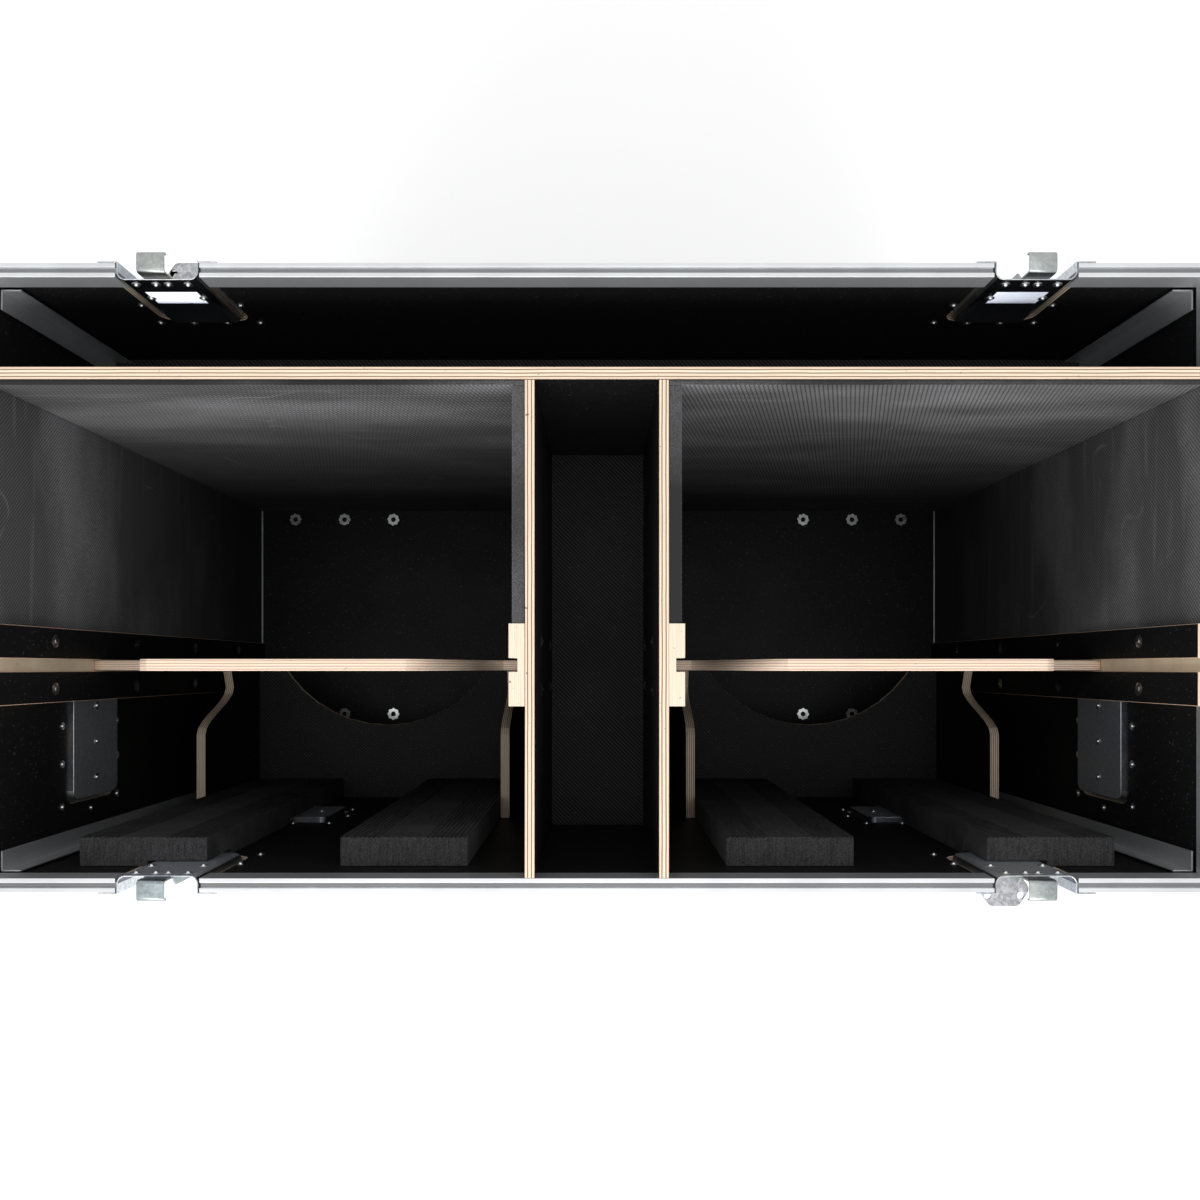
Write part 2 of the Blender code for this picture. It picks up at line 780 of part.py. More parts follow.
def make_latch_hook(name, wall, along):
    """The channel that the spindle drives, with its lip raised over the rim for the lid."""
    back = latch_pan_depth - latch_sheet - seat_gap
    front = back - hook_sheet
    low = -(spindle_drop + spindle_radius + spindle_clearance + hook_tail)
    half = hook_width / 2
    tip = front - hook_reach
    profile = filleted([
        (back, low, 0), (back, hook_rise, hook_bend), (tip, hook_rise, hook_bend),
        (tip, hook_rise - hook_sheet - hook_lip_drop, 0),
        (tip + hook_sheet, hook_rise - hook_sheet - hook_lip_drop, 0),
        (tip + hook_sheet, hook_rise - hook_sheet, hook_bend - hook_sheet),
        (front, hook_rise - hook_sheet, hook_bend - hook_sheet), (front, low, 0),
    ])
    hook = prism(name, profile, -half, half, "x", zinc)
    side_low = -hook_side_drop
    side_high = -rim_crown
    for edge in (-1, 1):
        inner, outer = sorted((edge * half, edge * (half - hook_sheet)))
        side_outline = [(back - hook_sheet / 2, side_low), (front - hook_side, side_low + hook_side),
                        (front - hook_side, side_high - hook_side), (back - hook_sheet / 2, side_high)]
        flank = prism(name + "_flank", side_outline, inner, outer, "x")
        weld(hook, hang_on(flank, wall, along, rim_top))
    stud = drum(name + "_stud", stud_radius, front - stud_proud, back - hook_sheet / 2, "y",
                (0, -stud_drop))
    weld(hook, hang_on(stud, wall, along, rim_top))
    reach = spindle_radius + spindle_clearance
    slot_outline = filleted([
        (-reach, -spindle_drop - reach, reach), (reach, -spindle_drop - reach, reach),
        (reach, -spindle_drop + hook_travel + reach, reach),
        (-reach, -spindle_drop + hook_travel + reach, reach),
    ])
    slot = prism(name + "_slot", slot_outline, front - hook_side - overrun, back + overrun, "y")
    cut(hook, hang_on(slot, wall, along, rim_top))
    return hang_on(hook, wall, along, rim_top)


def make_latch_wing(name, wall, along, folded_out):
    """The butterfly wing on its spindle, folded flat or standing out, square to the wall."""
    spindle_end = latch_pan_depth - latch_sheet - seat_gap
    flank_face = spindle_end - hook_sheet - hook_side
    wing_back = flank_face - wing_clearance
    wing_front = wing_back - wing_sheet
    half = wing_width / 2
    half_tip = wing_tip_width / 2
    outline = filleted([
        (-half_tip, -wing_reach, wing_round), (half_tip, -wing_reach, wing_round),
        (half, -wing_hole_reach + wing_round, wing_round), (wing_heel, wing_heel, wing_heel_round),
        (-wing_heel, wing_heel, wing_heel_round), (-half, -wing_hole_reach + wing_round, wing_round),
    ])
    z = rim_top - spindle_drop
    spindle = drum(name, spindle_radius, wing_back - seat_gap, spindle_end, "y", paint=zinc)
    holes = []
    if folded_out:
        flat = [(a, wing_front + b) for a, b in outline]
        plate = prism(name + "_plate", flat, -wing_sheet / 2, wing_sheet / 2, "z")
        for a in (-wing_hole_x, wing_hole_x):
            holes.append(drum(name + "_hole", wing_hole_radius, -wing_sheet, wing_sheet, "z",
                              (a, wing_front - wing_hole_reach)))
        boss = drum(name + "_boss", spindle_radius + wing_sheet, wing_front, wing_back, "y")
        weld(spindle, hang_on(boss, wall, along, z))
    else:
        plate = prism(name + "_plate", outline, wing_front, wing_back, "y")
        for a in (-wing_hole_x, wing_hole_x):
            holes.append(drum(name + "_hole", wing_hole_radius, wing_front - overrun,
                              wing_back + overrun, "y", (a, -wing_hole_reach)))
    weld(spindle, hang_on(plate, wall, along, z))
    for hole in holes:
        cut(spindle, hang_on(hole, wall, along, z))
    return hang_on(smooth(spindle), wall, along, z)


# Handles


def make_handle_dish(name, wall, along, depth):
    """A pressed dish with a flange outside, let into the wall round a sprung grip."""
    sheet = handle_sheet
    half_a, half_b = handle_pan_width / 2, handle_pan_height / 2
    flange_outline = rounded_box_outline(half_a + handle_flange, half_b + handle_flange,
                                         handle_flange_round)
    flange_face = -seat_gap
    z = rim_top - depth
    dish = prism(name, flange_outline, flange_face - sheet, flange_face, "y", zinc)
    pan = prism(name + "_pan", rounded_box_outline(half_a, half_b, handle_pan_round),
                flange_face - sheet / 2, handle_pan_depth, "y")
    hollow = prism(name + "_hollow",
                   rounded_box_outline(half_a - sheet, half_b - sheet, handle_pan_round - sheet),
                   flange_face - sheet - overrun, handle_pan_depth - sheet, "y")
    weld(dish, hang_on(pan, wall, along, z))
    cut(dish, hang_on(hollow, wall, along, z))
    return hang_on(dish, wall, along, z)


def handle_axis_depth():
    """How far the bail's plane lies in from the outer face of the ply."""
    return handle_pan_depth / 2 - handle_sheet


def make_handle_grip(name, wall, along, depth):
    """The bail: a bent rod that pivots at its top, with a moulded grip along its lower run."""
    half = handle_pan_width / 2 - handle_sheet - handle_side_gap
    reach = handle_pan_height - 2 * handle_sheet - handle_pivot_inset - handle_bar_inset
    bend = handle_rod_bend
    stub = half + handle_side_gap - seat_gap
    path = [(-stub, 0)] + arc_path((-half, 0), bend / 2, "turn_down")
    path += arc_path((-half, -reach), bend, "turn_in")
    path += [(-x, z) for x, z in reversed(path)]
    grip = rod(name, path, handle_rod_radius, paint=rubber)
    sleeve = drum(name + "_sleeve", handle_grip_radius, -handle_grip_length / 2,
                  handle_grip_length / 2, "x", (0, -reach), sleeve_steps)
    centre_z = rim_top - depth + handle_pan_height / 2 - handle_sheet - handle_pivot_inset
    weld(grip, place_grip(sleeve, wall, along, centre_z))
    return place_grip(smooth(grip), wall, along, centre_z)


def arc_path(corner, radius, kind):
    """Quarter bend at a corner of the bail's left arm."""
    x, z = corner
    points = []
    for step in range(corner_steps + 1):
        angle = pi / 2 * step / corner_steps
        if kind == "turn_down":
            points.append((x - radius + radius * sin(angle), z - radius + radius * cos(angle)))
        else:
            points.append((x + radius - radius * cos(angle), z + radius - radius * sin(angle)))
    return points


def place_grip(piece, wall, along, z):
    """Sets a piece with its origin on the bail's pivot axis."""
    hang_on(piece, wall, along, z)
    turn, _ = WALLS[wall]
    inward = Matrix.Rotation(turn, 3, "Z") @ Vector((0, handle_axis_depth(), 0))
    piece.location = Vector(piece.location) + inward
    return piece


# Casters


def make_fork(name, x, y, side):
    """The swivelling fork with its axle, trailing away from the case's middle."""
    trail = -side * caster_trail
    top = floor_low - plate_thickness - seat_gap
    crown_low = top - swivel_head
    inner = wheel_width / 2 + fork_clearance
    back = -fork_crown_radius + min(trail, 0) * fork_reach_share
    ahead = fork_crown_radius + max(trail, 0) * fork_reach_share
    fork = drum(name, swivel_radius, crown_low, top, "z", steps=wheel_steps, paint=zinc)
    crown = block(name + "_crown", (back, ahead), (-inner - fork_sheet, inner + fork_sheet),
                  (crown_low - fork_sheet, crown_low + seat_gap))
    weld(fork, place(crown, x, y))
    low = wheel_radius
    foot = [
        (trail + fork_foot_radius * cos(angle), low + fork_foot_radius * sin(angle))
        for angle in [pi + pi * k / (2 * corner_steps) for k in range(2 * corner_steps + 1)]
    ]
    leg_high = crown_low - fork_sheet / 2
    leg_outline = foot + [(ahead, leg_high), (back, leg_high)]
    for edge in (-1, 1):
        near, far = sorted((edge * inner, edge * (inner + fork_sheet)))
        leg = prism(name + "_leg", leg_outline, near, far, "y")
        weld(fork, place(leg, x, y))
    nut = fork_sheet
    axle = drum(name + "_axle", axle_radius, -inner - fork_sheet - nut, inner + fork_sheet + nut,
                "y", (trail, low))
    weld(fork, place(axle, x, y))
    return place(smooth(fork), x, y)


def place(piece, x, y):
    piece.location = (x, y, 0)
    return piece


def make_wheel(name, x, y, side):
    """A rubber-tyred wheel with a dished centre and a bored hub."""
    half = wheel_width / 2
    bore = axle_radius + axle_clearance
    web = wheel_radius - rim_band
    profile = [
        (bore, -half), (hub_radius, -half), (hub_radius, -half + hub_recess),
        (web, -half + hub_recess), (web, -half), (wheel_radius - tread_round, -half),
        (wheel_radius, -half + tread_round), (wheel_radius, half - tread_round),
        (wheel_radius - tread_round, half), (web, half), (web, half - hub_recess),
        (hub_radius, half - hub_recess), (hub_radius, half), (bore, half),
    ]
    wheel = smooth(turned(name, profile, wheel_steps, rubber))
    wheel.location = (x - side * caster_trail, y, wheel_radius)
    return wheel


# Assembly
make_floor_panel()
latches = (-latch_x, latch_x)
handles = ((-front_handle_x, front_handle_depth), (front_handle_x, front_handle_depth))
side_handles = ((side_handle_y, side_handle_depth),)
side_reach = ply_in.y - seat_gap
make_wall("front", (-ply_out.x, ply_out.x), (-ply_out.y, -ply_in.y), latches, handles)
make_wall("rear", (-ply_out.x, ply_out.x), (ply_in.y, ply_out.y), latches, handles)
make_wall("left", (-ply_out.x, -ply_in.x), (-side_reach, side_reach), (), side_handles)
make_wall("right", (ply_in.x, ply_out.x), (-side_reach, side_reach), (), side_handles)
rim_stop = latch_x - latch_pan_width / 2 - latch_rim_clearance
make_rim_length("front_rim", -rim_stop, rim_stop, -1)
make_rim_length("rear_rim", -rim_stop, rim_stop, 1)
make_outer_frame()
make_partition()
make_rear_shelf()
make_centre_shelf()
for hand, side in (("left", -1), ("right", 1)):
    make_rim_end(hand + "_rim", side)
    make_divider(hand + "_divider", side)
    make_wall_rail(hand + "_wall_rail", side)
    make_bar(hand + "_bar", side)
    make_cradle(hand + "_cradle", side)
    make_lining(hand + "_lining", side)
    make_strip(hand + "_outer_strip", outer_strip_x, side)
    make_strip(hand + "_inner_strip", inner_strip_x, side)
    for wall in ("front", "rear"):
        spot = wall + "_" + hand
        folded_out = spot in ("front_right", "rear_left")
        make_latch_dish(spot + "_latch_dish", wall, side * latch_x)
        make_latch_hook(spot + "_latch_hook", wall, side * latch_x)
        make_latch_wing(spot + "_latch_wing", wall, side * latch_x, folded_out)
        make_handle_dish(spot + "_handle_dish", wall, side * front_handle_x, front_handle_depth)
        make_handle_grip(spot + "_handle_grip", wall, side * front_handle_x, front_handle_depth)
        y = -caster_y if wall == "front" else caster_y
        make_fork(spot + "_caster_fork", side * caster_x, y, side)
        make_wheel(spot + "_caster_wheel", side * caster_x, y, side)
    make_handle_dish(hand + "_handle_dish", hand, side_handle_y, side_handle_depth)
    make_handle_grip(hand + "_handle_grip", hand, side_handle_y, side_handle_depth)
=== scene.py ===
# %% [markdown]
# # A lighting flight case, dressed
#
# The case is a black plywood box with aluminium edges, open at the top. Its construction comes
# ready made: boards, profiles, latches, handles and casters at their real size. This lesson gives
# every surface its finish and adds what is too small for the construction, such as rivets, screws,
# T-nuts, bolts and the teeth of the foam.

# %% Load the construction and read the boxes of its pieces
import json
from math import pi, radians

import bmesh
import bpy
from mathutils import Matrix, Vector, noise

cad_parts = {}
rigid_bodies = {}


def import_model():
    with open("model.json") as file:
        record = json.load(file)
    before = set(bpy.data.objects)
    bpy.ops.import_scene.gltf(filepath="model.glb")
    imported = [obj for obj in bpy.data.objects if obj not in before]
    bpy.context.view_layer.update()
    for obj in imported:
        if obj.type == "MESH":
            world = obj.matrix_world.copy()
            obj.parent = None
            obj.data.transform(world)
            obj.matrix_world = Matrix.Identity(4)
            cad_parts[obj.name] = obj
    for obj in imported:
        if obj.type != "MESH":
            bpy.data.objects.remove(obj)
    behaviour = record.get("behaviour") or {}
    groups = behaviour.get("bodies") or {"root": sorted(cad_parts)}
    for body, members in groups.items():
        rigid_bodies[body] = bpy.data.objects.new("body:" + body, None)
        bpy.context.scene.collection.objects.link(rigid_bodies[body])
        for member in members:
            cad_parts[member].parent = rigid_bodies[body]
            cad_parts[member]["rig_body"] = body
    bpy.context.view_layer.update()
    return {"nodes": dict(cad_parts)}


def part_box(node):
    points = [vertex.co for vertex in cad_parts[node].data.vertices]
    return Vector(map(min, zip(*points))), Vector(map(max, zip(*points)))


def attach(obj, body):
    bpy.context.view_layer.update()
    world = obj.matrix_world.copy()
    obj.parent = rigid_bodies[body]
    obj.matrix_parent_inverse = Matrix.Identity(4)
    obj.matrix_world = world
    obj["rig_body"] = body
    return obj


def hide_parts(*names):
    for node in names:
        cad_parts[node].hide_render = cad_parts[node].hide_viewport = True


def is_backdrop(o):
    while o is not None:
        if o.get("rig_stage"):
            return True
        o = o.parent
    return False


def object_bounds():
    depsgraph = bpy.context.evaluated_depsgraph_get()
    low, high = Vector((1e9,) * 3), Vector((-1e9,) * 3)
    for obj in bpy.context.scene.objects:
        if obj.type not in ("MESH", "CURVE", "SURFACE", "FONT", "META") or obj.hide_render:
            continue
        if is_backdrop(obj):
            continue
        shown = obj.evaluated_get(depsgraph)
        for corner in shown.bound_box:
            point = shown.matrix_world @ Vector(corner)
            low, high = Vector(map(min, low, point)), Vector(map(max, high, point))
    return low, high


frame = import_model()
nodes = frame["nodes"]
mm = 0.001

# %% [markdown]
# Most places below are worked out from the boxes of the real pieces, so that a screw stays on its
# board. Others, such as those of the T-nuts and the caster bolts, are given in millimetres. A few
# wall thicknesses can't be read from a box and are named here as real sizes.

# %% Planes of the case, read from its pieces
def middle_of(node):
    low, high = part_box(node)
    return (low + high) / 2


front_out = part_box("front_wall")[0].y
front_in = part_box("front_wall")[1].y
rear_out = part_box("rear_wall")[1].y
side_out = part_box("right_wall")[1].x
side_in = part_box("right_wall")[0].x
wall_ply = side_out - side_in
floor_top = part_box("floor_panel")[1].z
floor_low = floor_top - wall_ply
rim_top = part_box("front_rim")[1].z
rim_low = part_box("front_rim")[0].z
rim_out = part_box("front_rim")[0].y
rim_leg = 1.8 * mm
seat_gap = 0.3 * mm
leg_in_x = side_in - seat_gap - rim_leg
print("inside height", round((rim_top - floor_top) / mm), "mm, wall", round(wall_ply / mm, 1), "mm")

# %% [markdown]
# The photograph looks straight down into the case from a little in front of its middle. A camera
# that looks along -Z needs no turn. The case sits low in the frame, so the lens is shifted
# upwards, which keeps the upright boards from leaning the wrong way.

# %% Camera
camera_height = 950 * mm
camera_x = 3 * mm
camera_y = -86 * mm
sensor_width = 36
pixels_across = 1200
pixels_per_radian = 997.5
middle_row = 668
camera_data = bpy.data.cameras.new("camera")
camera_data.sensor_width = sensor_width
camera_data.lens = pixels_per_radian / pixels_across * sensor_width
camera_data.shift_y = (middle_row - pixels_across / 2) / pixels_across
camera = bpy.data.objects.new("camera", camera_data)
camera.location = (camera_x, camera_y, rim_top + camera_height)
bpy.context.collection.objects.link(camera)
bpy.context.scene.camera = camera
print("lens", round(camera_data.lens, 2), "mm, shift", round(camera_data.shift_y, 4))

# %% [markdown]
# A shader tree is easier to read when each node is one call. These helpers add a node, fill its
# sockets with numbers or links, and give back the socket that the next node needs.


# %% Helpers for shader trees
def new_finish(name):
    material = bpy.data.materials.new(name)
    material.use_nodes = True
    return material, material.node_tree, material.node_tree.nodes["Principled BSDF"]


def fill(tree, made, sockets):
    """Sets or links the sockets of a node, given as name or number to value."""
    for key, value in sockets.items():
        if isinstance(value, bpy.types.NodeSocket):
            tree.links.new(value, made.inputs[key])
        else:
            made.inputs[key].default_value = value
    return made


def add(tree, kind, sockets, **settings):
    made = tree.nodes.new(kind)
    for key, value in settings.items():
        setattr(made, key, value)
    return fill(tree, made, sockets)


def maths(tree, operation, first, second=0.0):
    return add(tree, "ShaderNodeMath", {0: first, 1: second}, operation=operation).outputs[0]


def remap(tree, value, low, high, from_low=0.0, from_high=1.0):
    """Stretches a value to a new range and clamps it there."""
    sockets = {"Value": value, "From Min": from_low, "From Max": from_high,
               "To Min": low, "To Max": high}
    return add(tree, "ShaderNodeMapRange", sockets).outputs[0]


def mix(tree, factor, first, second):
    """Mixes two colours: a factor of 0 gives the first, and 1 the second."""
    made = add(tree, "ShaderNodeMix", {}, data_type="RGBA")
    return fill(tree, made, {0: factor, 6: first, 7: second}).outputs[2]


def grains(tree, place, scale, detail=3.0, stretch=(1, 1, 1)):
    """Noise at a scale in copies a metre, squeezed along each axis by the stretch."""
    squeezed = add(tree, "ShaderNodeMapping", {"Vector": place, "Scale": stretch}).outputs[0]
    sockets = {"Vector": squeezed, "Scale": scale, "Detail": detail}
    return add(tree, "ShaderNodeTexNoise", sockets).outputs[0]


def object_place(tree):
    """The object coordinate, and its three axes apart."""
    place = add(tree, "ShaderNodeTexCoord", {}).outputs["Object"]
    axes = add(tree, "ShaderNodeSeparateXYZ", {0: place}).outputs
    return place, axes


def surface(tree, shader, colour, roughness, height, depth, metallic=0.0, specular=0.5):
    """Fills the shader, with a bump from a height and the depth in metres that 1 stands for."""
    bump = add(tree, "ShaderNodeBump", {"Height": height, "Distance": depth, "Strength": 1.0})
    fill(tree, shader, {"Base Color": colour, "Roughness": roughness, "Metallic": metallic,
                        "Specular IOR Level": specular, "Normal": bump.outputs[0]})


print("helpers ready")

# %% [markdown]
# The boards are birch plywood with a black phenolic film pressed on both faces. The film is nearly
# smooth inside the case, dull, with hair-fine scuffs and pale specks of dust. Outside, and where
# things slide or stand, such as on the decks and shelves, the film carries a fine diagonal mesh.
# The mesh is two sines that run along the diagonals, which takes a few nodes and no image. Its
# raised lines are painted paler, as a painted highlight where they would catch the light.


# %% Black film
def diagonal_mesh(tree, first, second, pitch):
    """Raised lines along both diagonals of the plane of two coordinates, one row higher."""
    turns = 2 * pi / pitch
    rising = maths(tree, "SINE", maths(tree, "MULTIPLY", maths(tree, "ADD", first, second), turns))
    falling = maths(tree, "SINE",
                    maths(tree, "MULTIPLY", maths(tree, "SUBTRACT", first, second), turns))
    return maths(tree, "MAXIMUM", rising, maths(tree, "MULTIPLY", falling, 0.4))


mesh_pitch = 5.2 * mm


def film(name, mesh_axes=None, tone=0.0075, sheen=0.16):
    """Black film. With mesh_axes, such as (0, 1), it has the anti-slip mesh in that plane."""
    material, tree, shader = new_finish(name)
    place, axes = object_place(tree)
    cloud = grains(tree, place, 9.0, 5.0)
    dust = remap(tree, grains(tree, place, 620.0, 2.0), 0.0, 1.0, 0.62, 0.78)
    scuff = remap(tree, grains(tree, place, 26.0, 6.0, (1, 9, 3)), 0.0, 1.0, 0.60, 0.80)
    faint = maths(tree, "MULTIPLY", dust, 0.25)
    strong = maths(tree, "MULTIPLY", scuff, 0.30)
    wear = maths(tree, "MULTIPLY", maths(tree, "ADD", faint, strong), cloud)
    dark = (tone, tone, tone * 1.05, 1)
    worn = (tone * 5, tone * 5, tone * 5.2, 1)
    colour = mix(tree, wear, dark, worn)
    speck = remap(tree, grains(tree, place, 380.0, 1.0), 0.0, 0.35, 0.69, 0.74)
    colour = mix(tree, speck, colour, (0.2, 0.19, 0.18, 1))
    height = grains(tree, place, 900.0, 2.0)
    depth = 0.05 * mm
    if mesh_axes:
        lines = diagonal_mesh(tree, axes[mesh_axes[0]], axes[mesh_axes[1]], mesh_pitch)
        raised = remap(tree, lines, 0.0, 1.0, 0.3, 0.9)
        # Painted highlight: the mesh's raised lines are painted paler, as if they catch the light.
        line_highlight = (tone * 8, tone * 8, tone * 8, 1)
        colour = mix(tree, maths(tree, "MULTIPLY", raised, 0.9), colour, line_highlight)
        height = raised
        depth = 0.25 * mm
    surface(tree, shader, colour, remap(tree, cloud, 0.42, 0.6), height, depth, specular=sheen)
    return material


smooth_film = film("smooth_film")
floor_film = film("floor_film", (0, 1), tone=0.009)
deck_film = film("deck_film", (0, 1), tone=0.0055)
front_film = film("front_film", (0, 2), tone=0.0055, sheen=0.25)
side_film = film("side_film", (1, 2), tone=0.0055, sheen=0.25)
print("film finishes:", [m.name for m in (smooth_film, floor_film, deck_film, front_film)])

# %% [markdown]
# A sawn edge shows the plies. They follow the coordinate through the board's thickness, so one
# function serves every board: it counts plies from one face to the other, gives every second ply
# its cross-grain brown, shifts each ply's tint a little, and lets the glue lines waver. The
# outermost plies are pale, and end in a tan line where the film was trimmed with them. The grain
# is noise squeezed hard through the thickness and drawn out along the board.


# %% Plywood edges
def ply_edge(name, axis, low, thickness, plies, pale=(0.93, 0.83, 0.66), brown=(0.30, 0.16, 0.10),
             contrast=1.0):
    material, tree, shader = new_finish(name)
    place, axes = object_place(tree)
    waver = remap(tree, grains(tree, place, 22.0, 3.0), -0.3, 0.3)
    through = remap(tree, axes[axis], 0.0, float(plies), low, low + thickness)
    count = maths(tree, "ADD", through, waver)
    wave = maths(tree, "SINE", maths(tree, "MULTIPLY", count, pi))
    band = remap(tree, wave, contrast, 0.0, -0.85, -0.3)
    trimmed = maths(tree, "MINIMUM", through, maths(tree, "SUBTRACT", float(plies), through))
    number = maths(tree, "FLOOR", count)
    tint = add(tree, "ShaderNodeTexWhiteNoise", {"W": number}, noise_dimensions="1D").outputs[0]
    warm = mix(tree, maths(tree, "MULTIPLY", tint, 0.3), (*pale, 1), (0.84, 0.63, 0.42, 1))
    colour = mix(tree, band, warm, (*brown, 1))
    tan = remap(tree, trimmed, 0.8, 0.0, 0.25, 0.5)
    colour = mix(tree, tan, colour, (0.66, 0.40, 0.29, 1))
    stretch = [0.07, 0.07, 0.07]
    stretch[axis] = 3.0
    grain = grains(tree, place, 420.0, 4.0, stretch)
    colour = mix(tree, remap(tree, grain, 0.0, 0.38, 0.48, 0.85), colour, (0.45, 0.30, 0.18, 1))
    pits = remap(tree, grains(tree, place, 260.0, 2.0), 0.0, 0.8, 0.71, 0.78)
    colour = mix(tree, pits, colour, (0.10, 0.06, 0.035, 1))
    surface(tree, shader, colour, 0.72, grain, 0.12 * mm, specular=0.25)
    return material


def ply_of(node, axis, name=None, plies=7, **looks):
    """Edge finish for a board that fills its node's box along the axis."""
    low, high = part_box(node)
    return ply_edge(name or node + "_edge", axis, low[axis], high[axis] - low[axis], plies, **looks)


partition_edge = ply_of("rear_partition", 1, "partition_edge")
print("first edge:", partition_edge.name)

# %% [markdown]
# The aluminium profiles are drawn through a die and anodised: pale, satin, with faint lines along
# their length, and dulled by handling. The pressed steel fittings are zinc plated, which is
# smoother and bluer, with a spangle of crystals and a trace of yellow passivation. The back of the
# rear latch pans has a bright band, which a bump that leans there stands for.


# %% Metals
def aluminium(name, along=None, tone=1.0):
    """Anodised aluminium, with its fine lines drawn out along one axis or along none."""
    material, tree, shader = new_finish(name)
    place, _ = object_place(tree)
    stretch = [0.01 if axis == along else 1.0 for axis in range(3)]
    lines = grains(tree, place, 900.0, 3.0, stretch)
    stain = grains(tree, place, 14.0, 5.0)
    bright = (0.74 * tone, 0.76 * tone, 0.78 * tone, 1)
    dulled = (0.60 * tone, 0.61 * tone, 0.63 * tone, 1)
    colour = mix(tree, remap(tree, stain, 0.0, 1.0, 0.35, 0.75), bright, dulled)
    rough = maths(tree, "ADD", remap(tree, lines, 0.24, 0.36), remap(tree, stain, 0.0, 0.14))
    surface(tree, shader, colour, rough, lines, 0.02 * mm, metallic=0.75)
    return material


def zinc_steel(name, pale=(0.74, 0.78, 0.82), dull=(0.46, 0.50, 0.54), roughness=0.24):
    material, tree, shader = new_finish(name)
    place, _ = object_place(tree)
    crystals = add(tree, "ShaderNodeTexVoronoi", {"Vector": place, "Scale": 420.0}).outputs["Color"]
    spangle = add(tree, "ShaderNodeSeparateColor", {0: crystals}).outputs[0]
    stain = grains(tree, place, 30.0, 6.0)
    blotch = maths(tree, "MULTIPLY", maths(tree, "ADD", spangle, stain), 0.5)
    colour = mix(tree, remap(tree, blotch, 0.0, 1.0, 0.25, 0.85), (*pale, 1), (*dull, 1))
    yellow = remap(tree, grains(tree, place, 11.0, 2.0), 0.0, 0.35, 0.5, 0.8)
    colour = mix(tree, yellow, colour, (0.74, 0.70, 0.55, 1))
    rough = remap(tree, stain, roughness, roughness + 0.18)
    surface(tree, shader, colour, rough, grains(tree, place, 700.0, 2.0), 0.015 * mm, metallic=1.0)
    return material


def pan_steel(name, middle, half, low, high, fade=2 * mm, lean=1.3):
    """Dull steel that leans upwards between two heights, where it mirrors the sky. The lean
    reaches half a width to each side of the middle, at both hands of the case."""
    material, tree, shader = new_finish(name)
    place, axes = object_place(tree)
    stain = grains(tree, place, 30.0, 6.0)
    colour = mix(tree, stain, (0.40, 0.43, 0.50, 1), (0.30, 0.31, 0.35, 1))
    offset = maths(tree, "SUBTRACT", maths(tree, "ABSOLUTE", axes[0]), middle)
    inside = remap(tree, maths(tree, "ABSOLUTE", offset), 1.0, 0.0, half, half + fade)
    climb = remap(tree, axes[2], 1.0, 0.0, low, high)
    bump = add(tree, "ShaderNodeBump", {"Height": climb, "Distance": lean * (high - low),
                                        "Strength": inside})
    fill(tree, shader, {"Base Color": colour, "Roughness": remap(tree, stain, 0.16, 0.3),
                        "Metallic": 1.0, "Normal": bump.outputs[0]})
    return material


profile_metal = aluminium("profile_metal", 0)
# Painted shade: the groove's floor gets the same metal at a third of its brightness.
shaded_groove_metal = aluminium("shaded_groove_metal", 0, 0.35)
side_metal = aluminium("side_metal", 1)
shaded_side_groove = aluminium("shaded_side_groove", 1, 0.35)
corner_metal = aluminium("corner_metal", None, 0.8)
zinc = zinc_steel("zinc")
dull_steel = zinc_steel("dull_steel", (0.50, 0.53, 0.59), (0.36, 0.38, 0.42), 0.5)
# Painted shade: the sides of the dishes' pans are nearly black, for the shade in the recess.
shaded_pan_side = zinc_steel("shaded_pan_side", (0.15, 0.16, 0.19), (0.09, 0.09, 0.11), 0.35)
hook_steel = zinc_steel("hook_steel", (0.36, 0.41, 0.43), (0.24, 0.27, 0.29), 0.3)
latch_x = middle_of("front_right_latch_dish").x
lean_half = 25 * mm
lean_drop = 31 * mm
lean_height = 30 * mm
lean_top = rim_top - lean_drop
latch_pan = pan_steel("latch_pan", latch_x, lean_half, lean_top - lean_height, lean_top)
spangled_zinc = zinc_steel("spangled_zinc", (0.54, 0.55, 0.60), (0.20, 0.21, 0.24), 0.32)
print("metals:", [m.name for m in (profile_metal, corner_metal, zinc, spangled_zinc)])
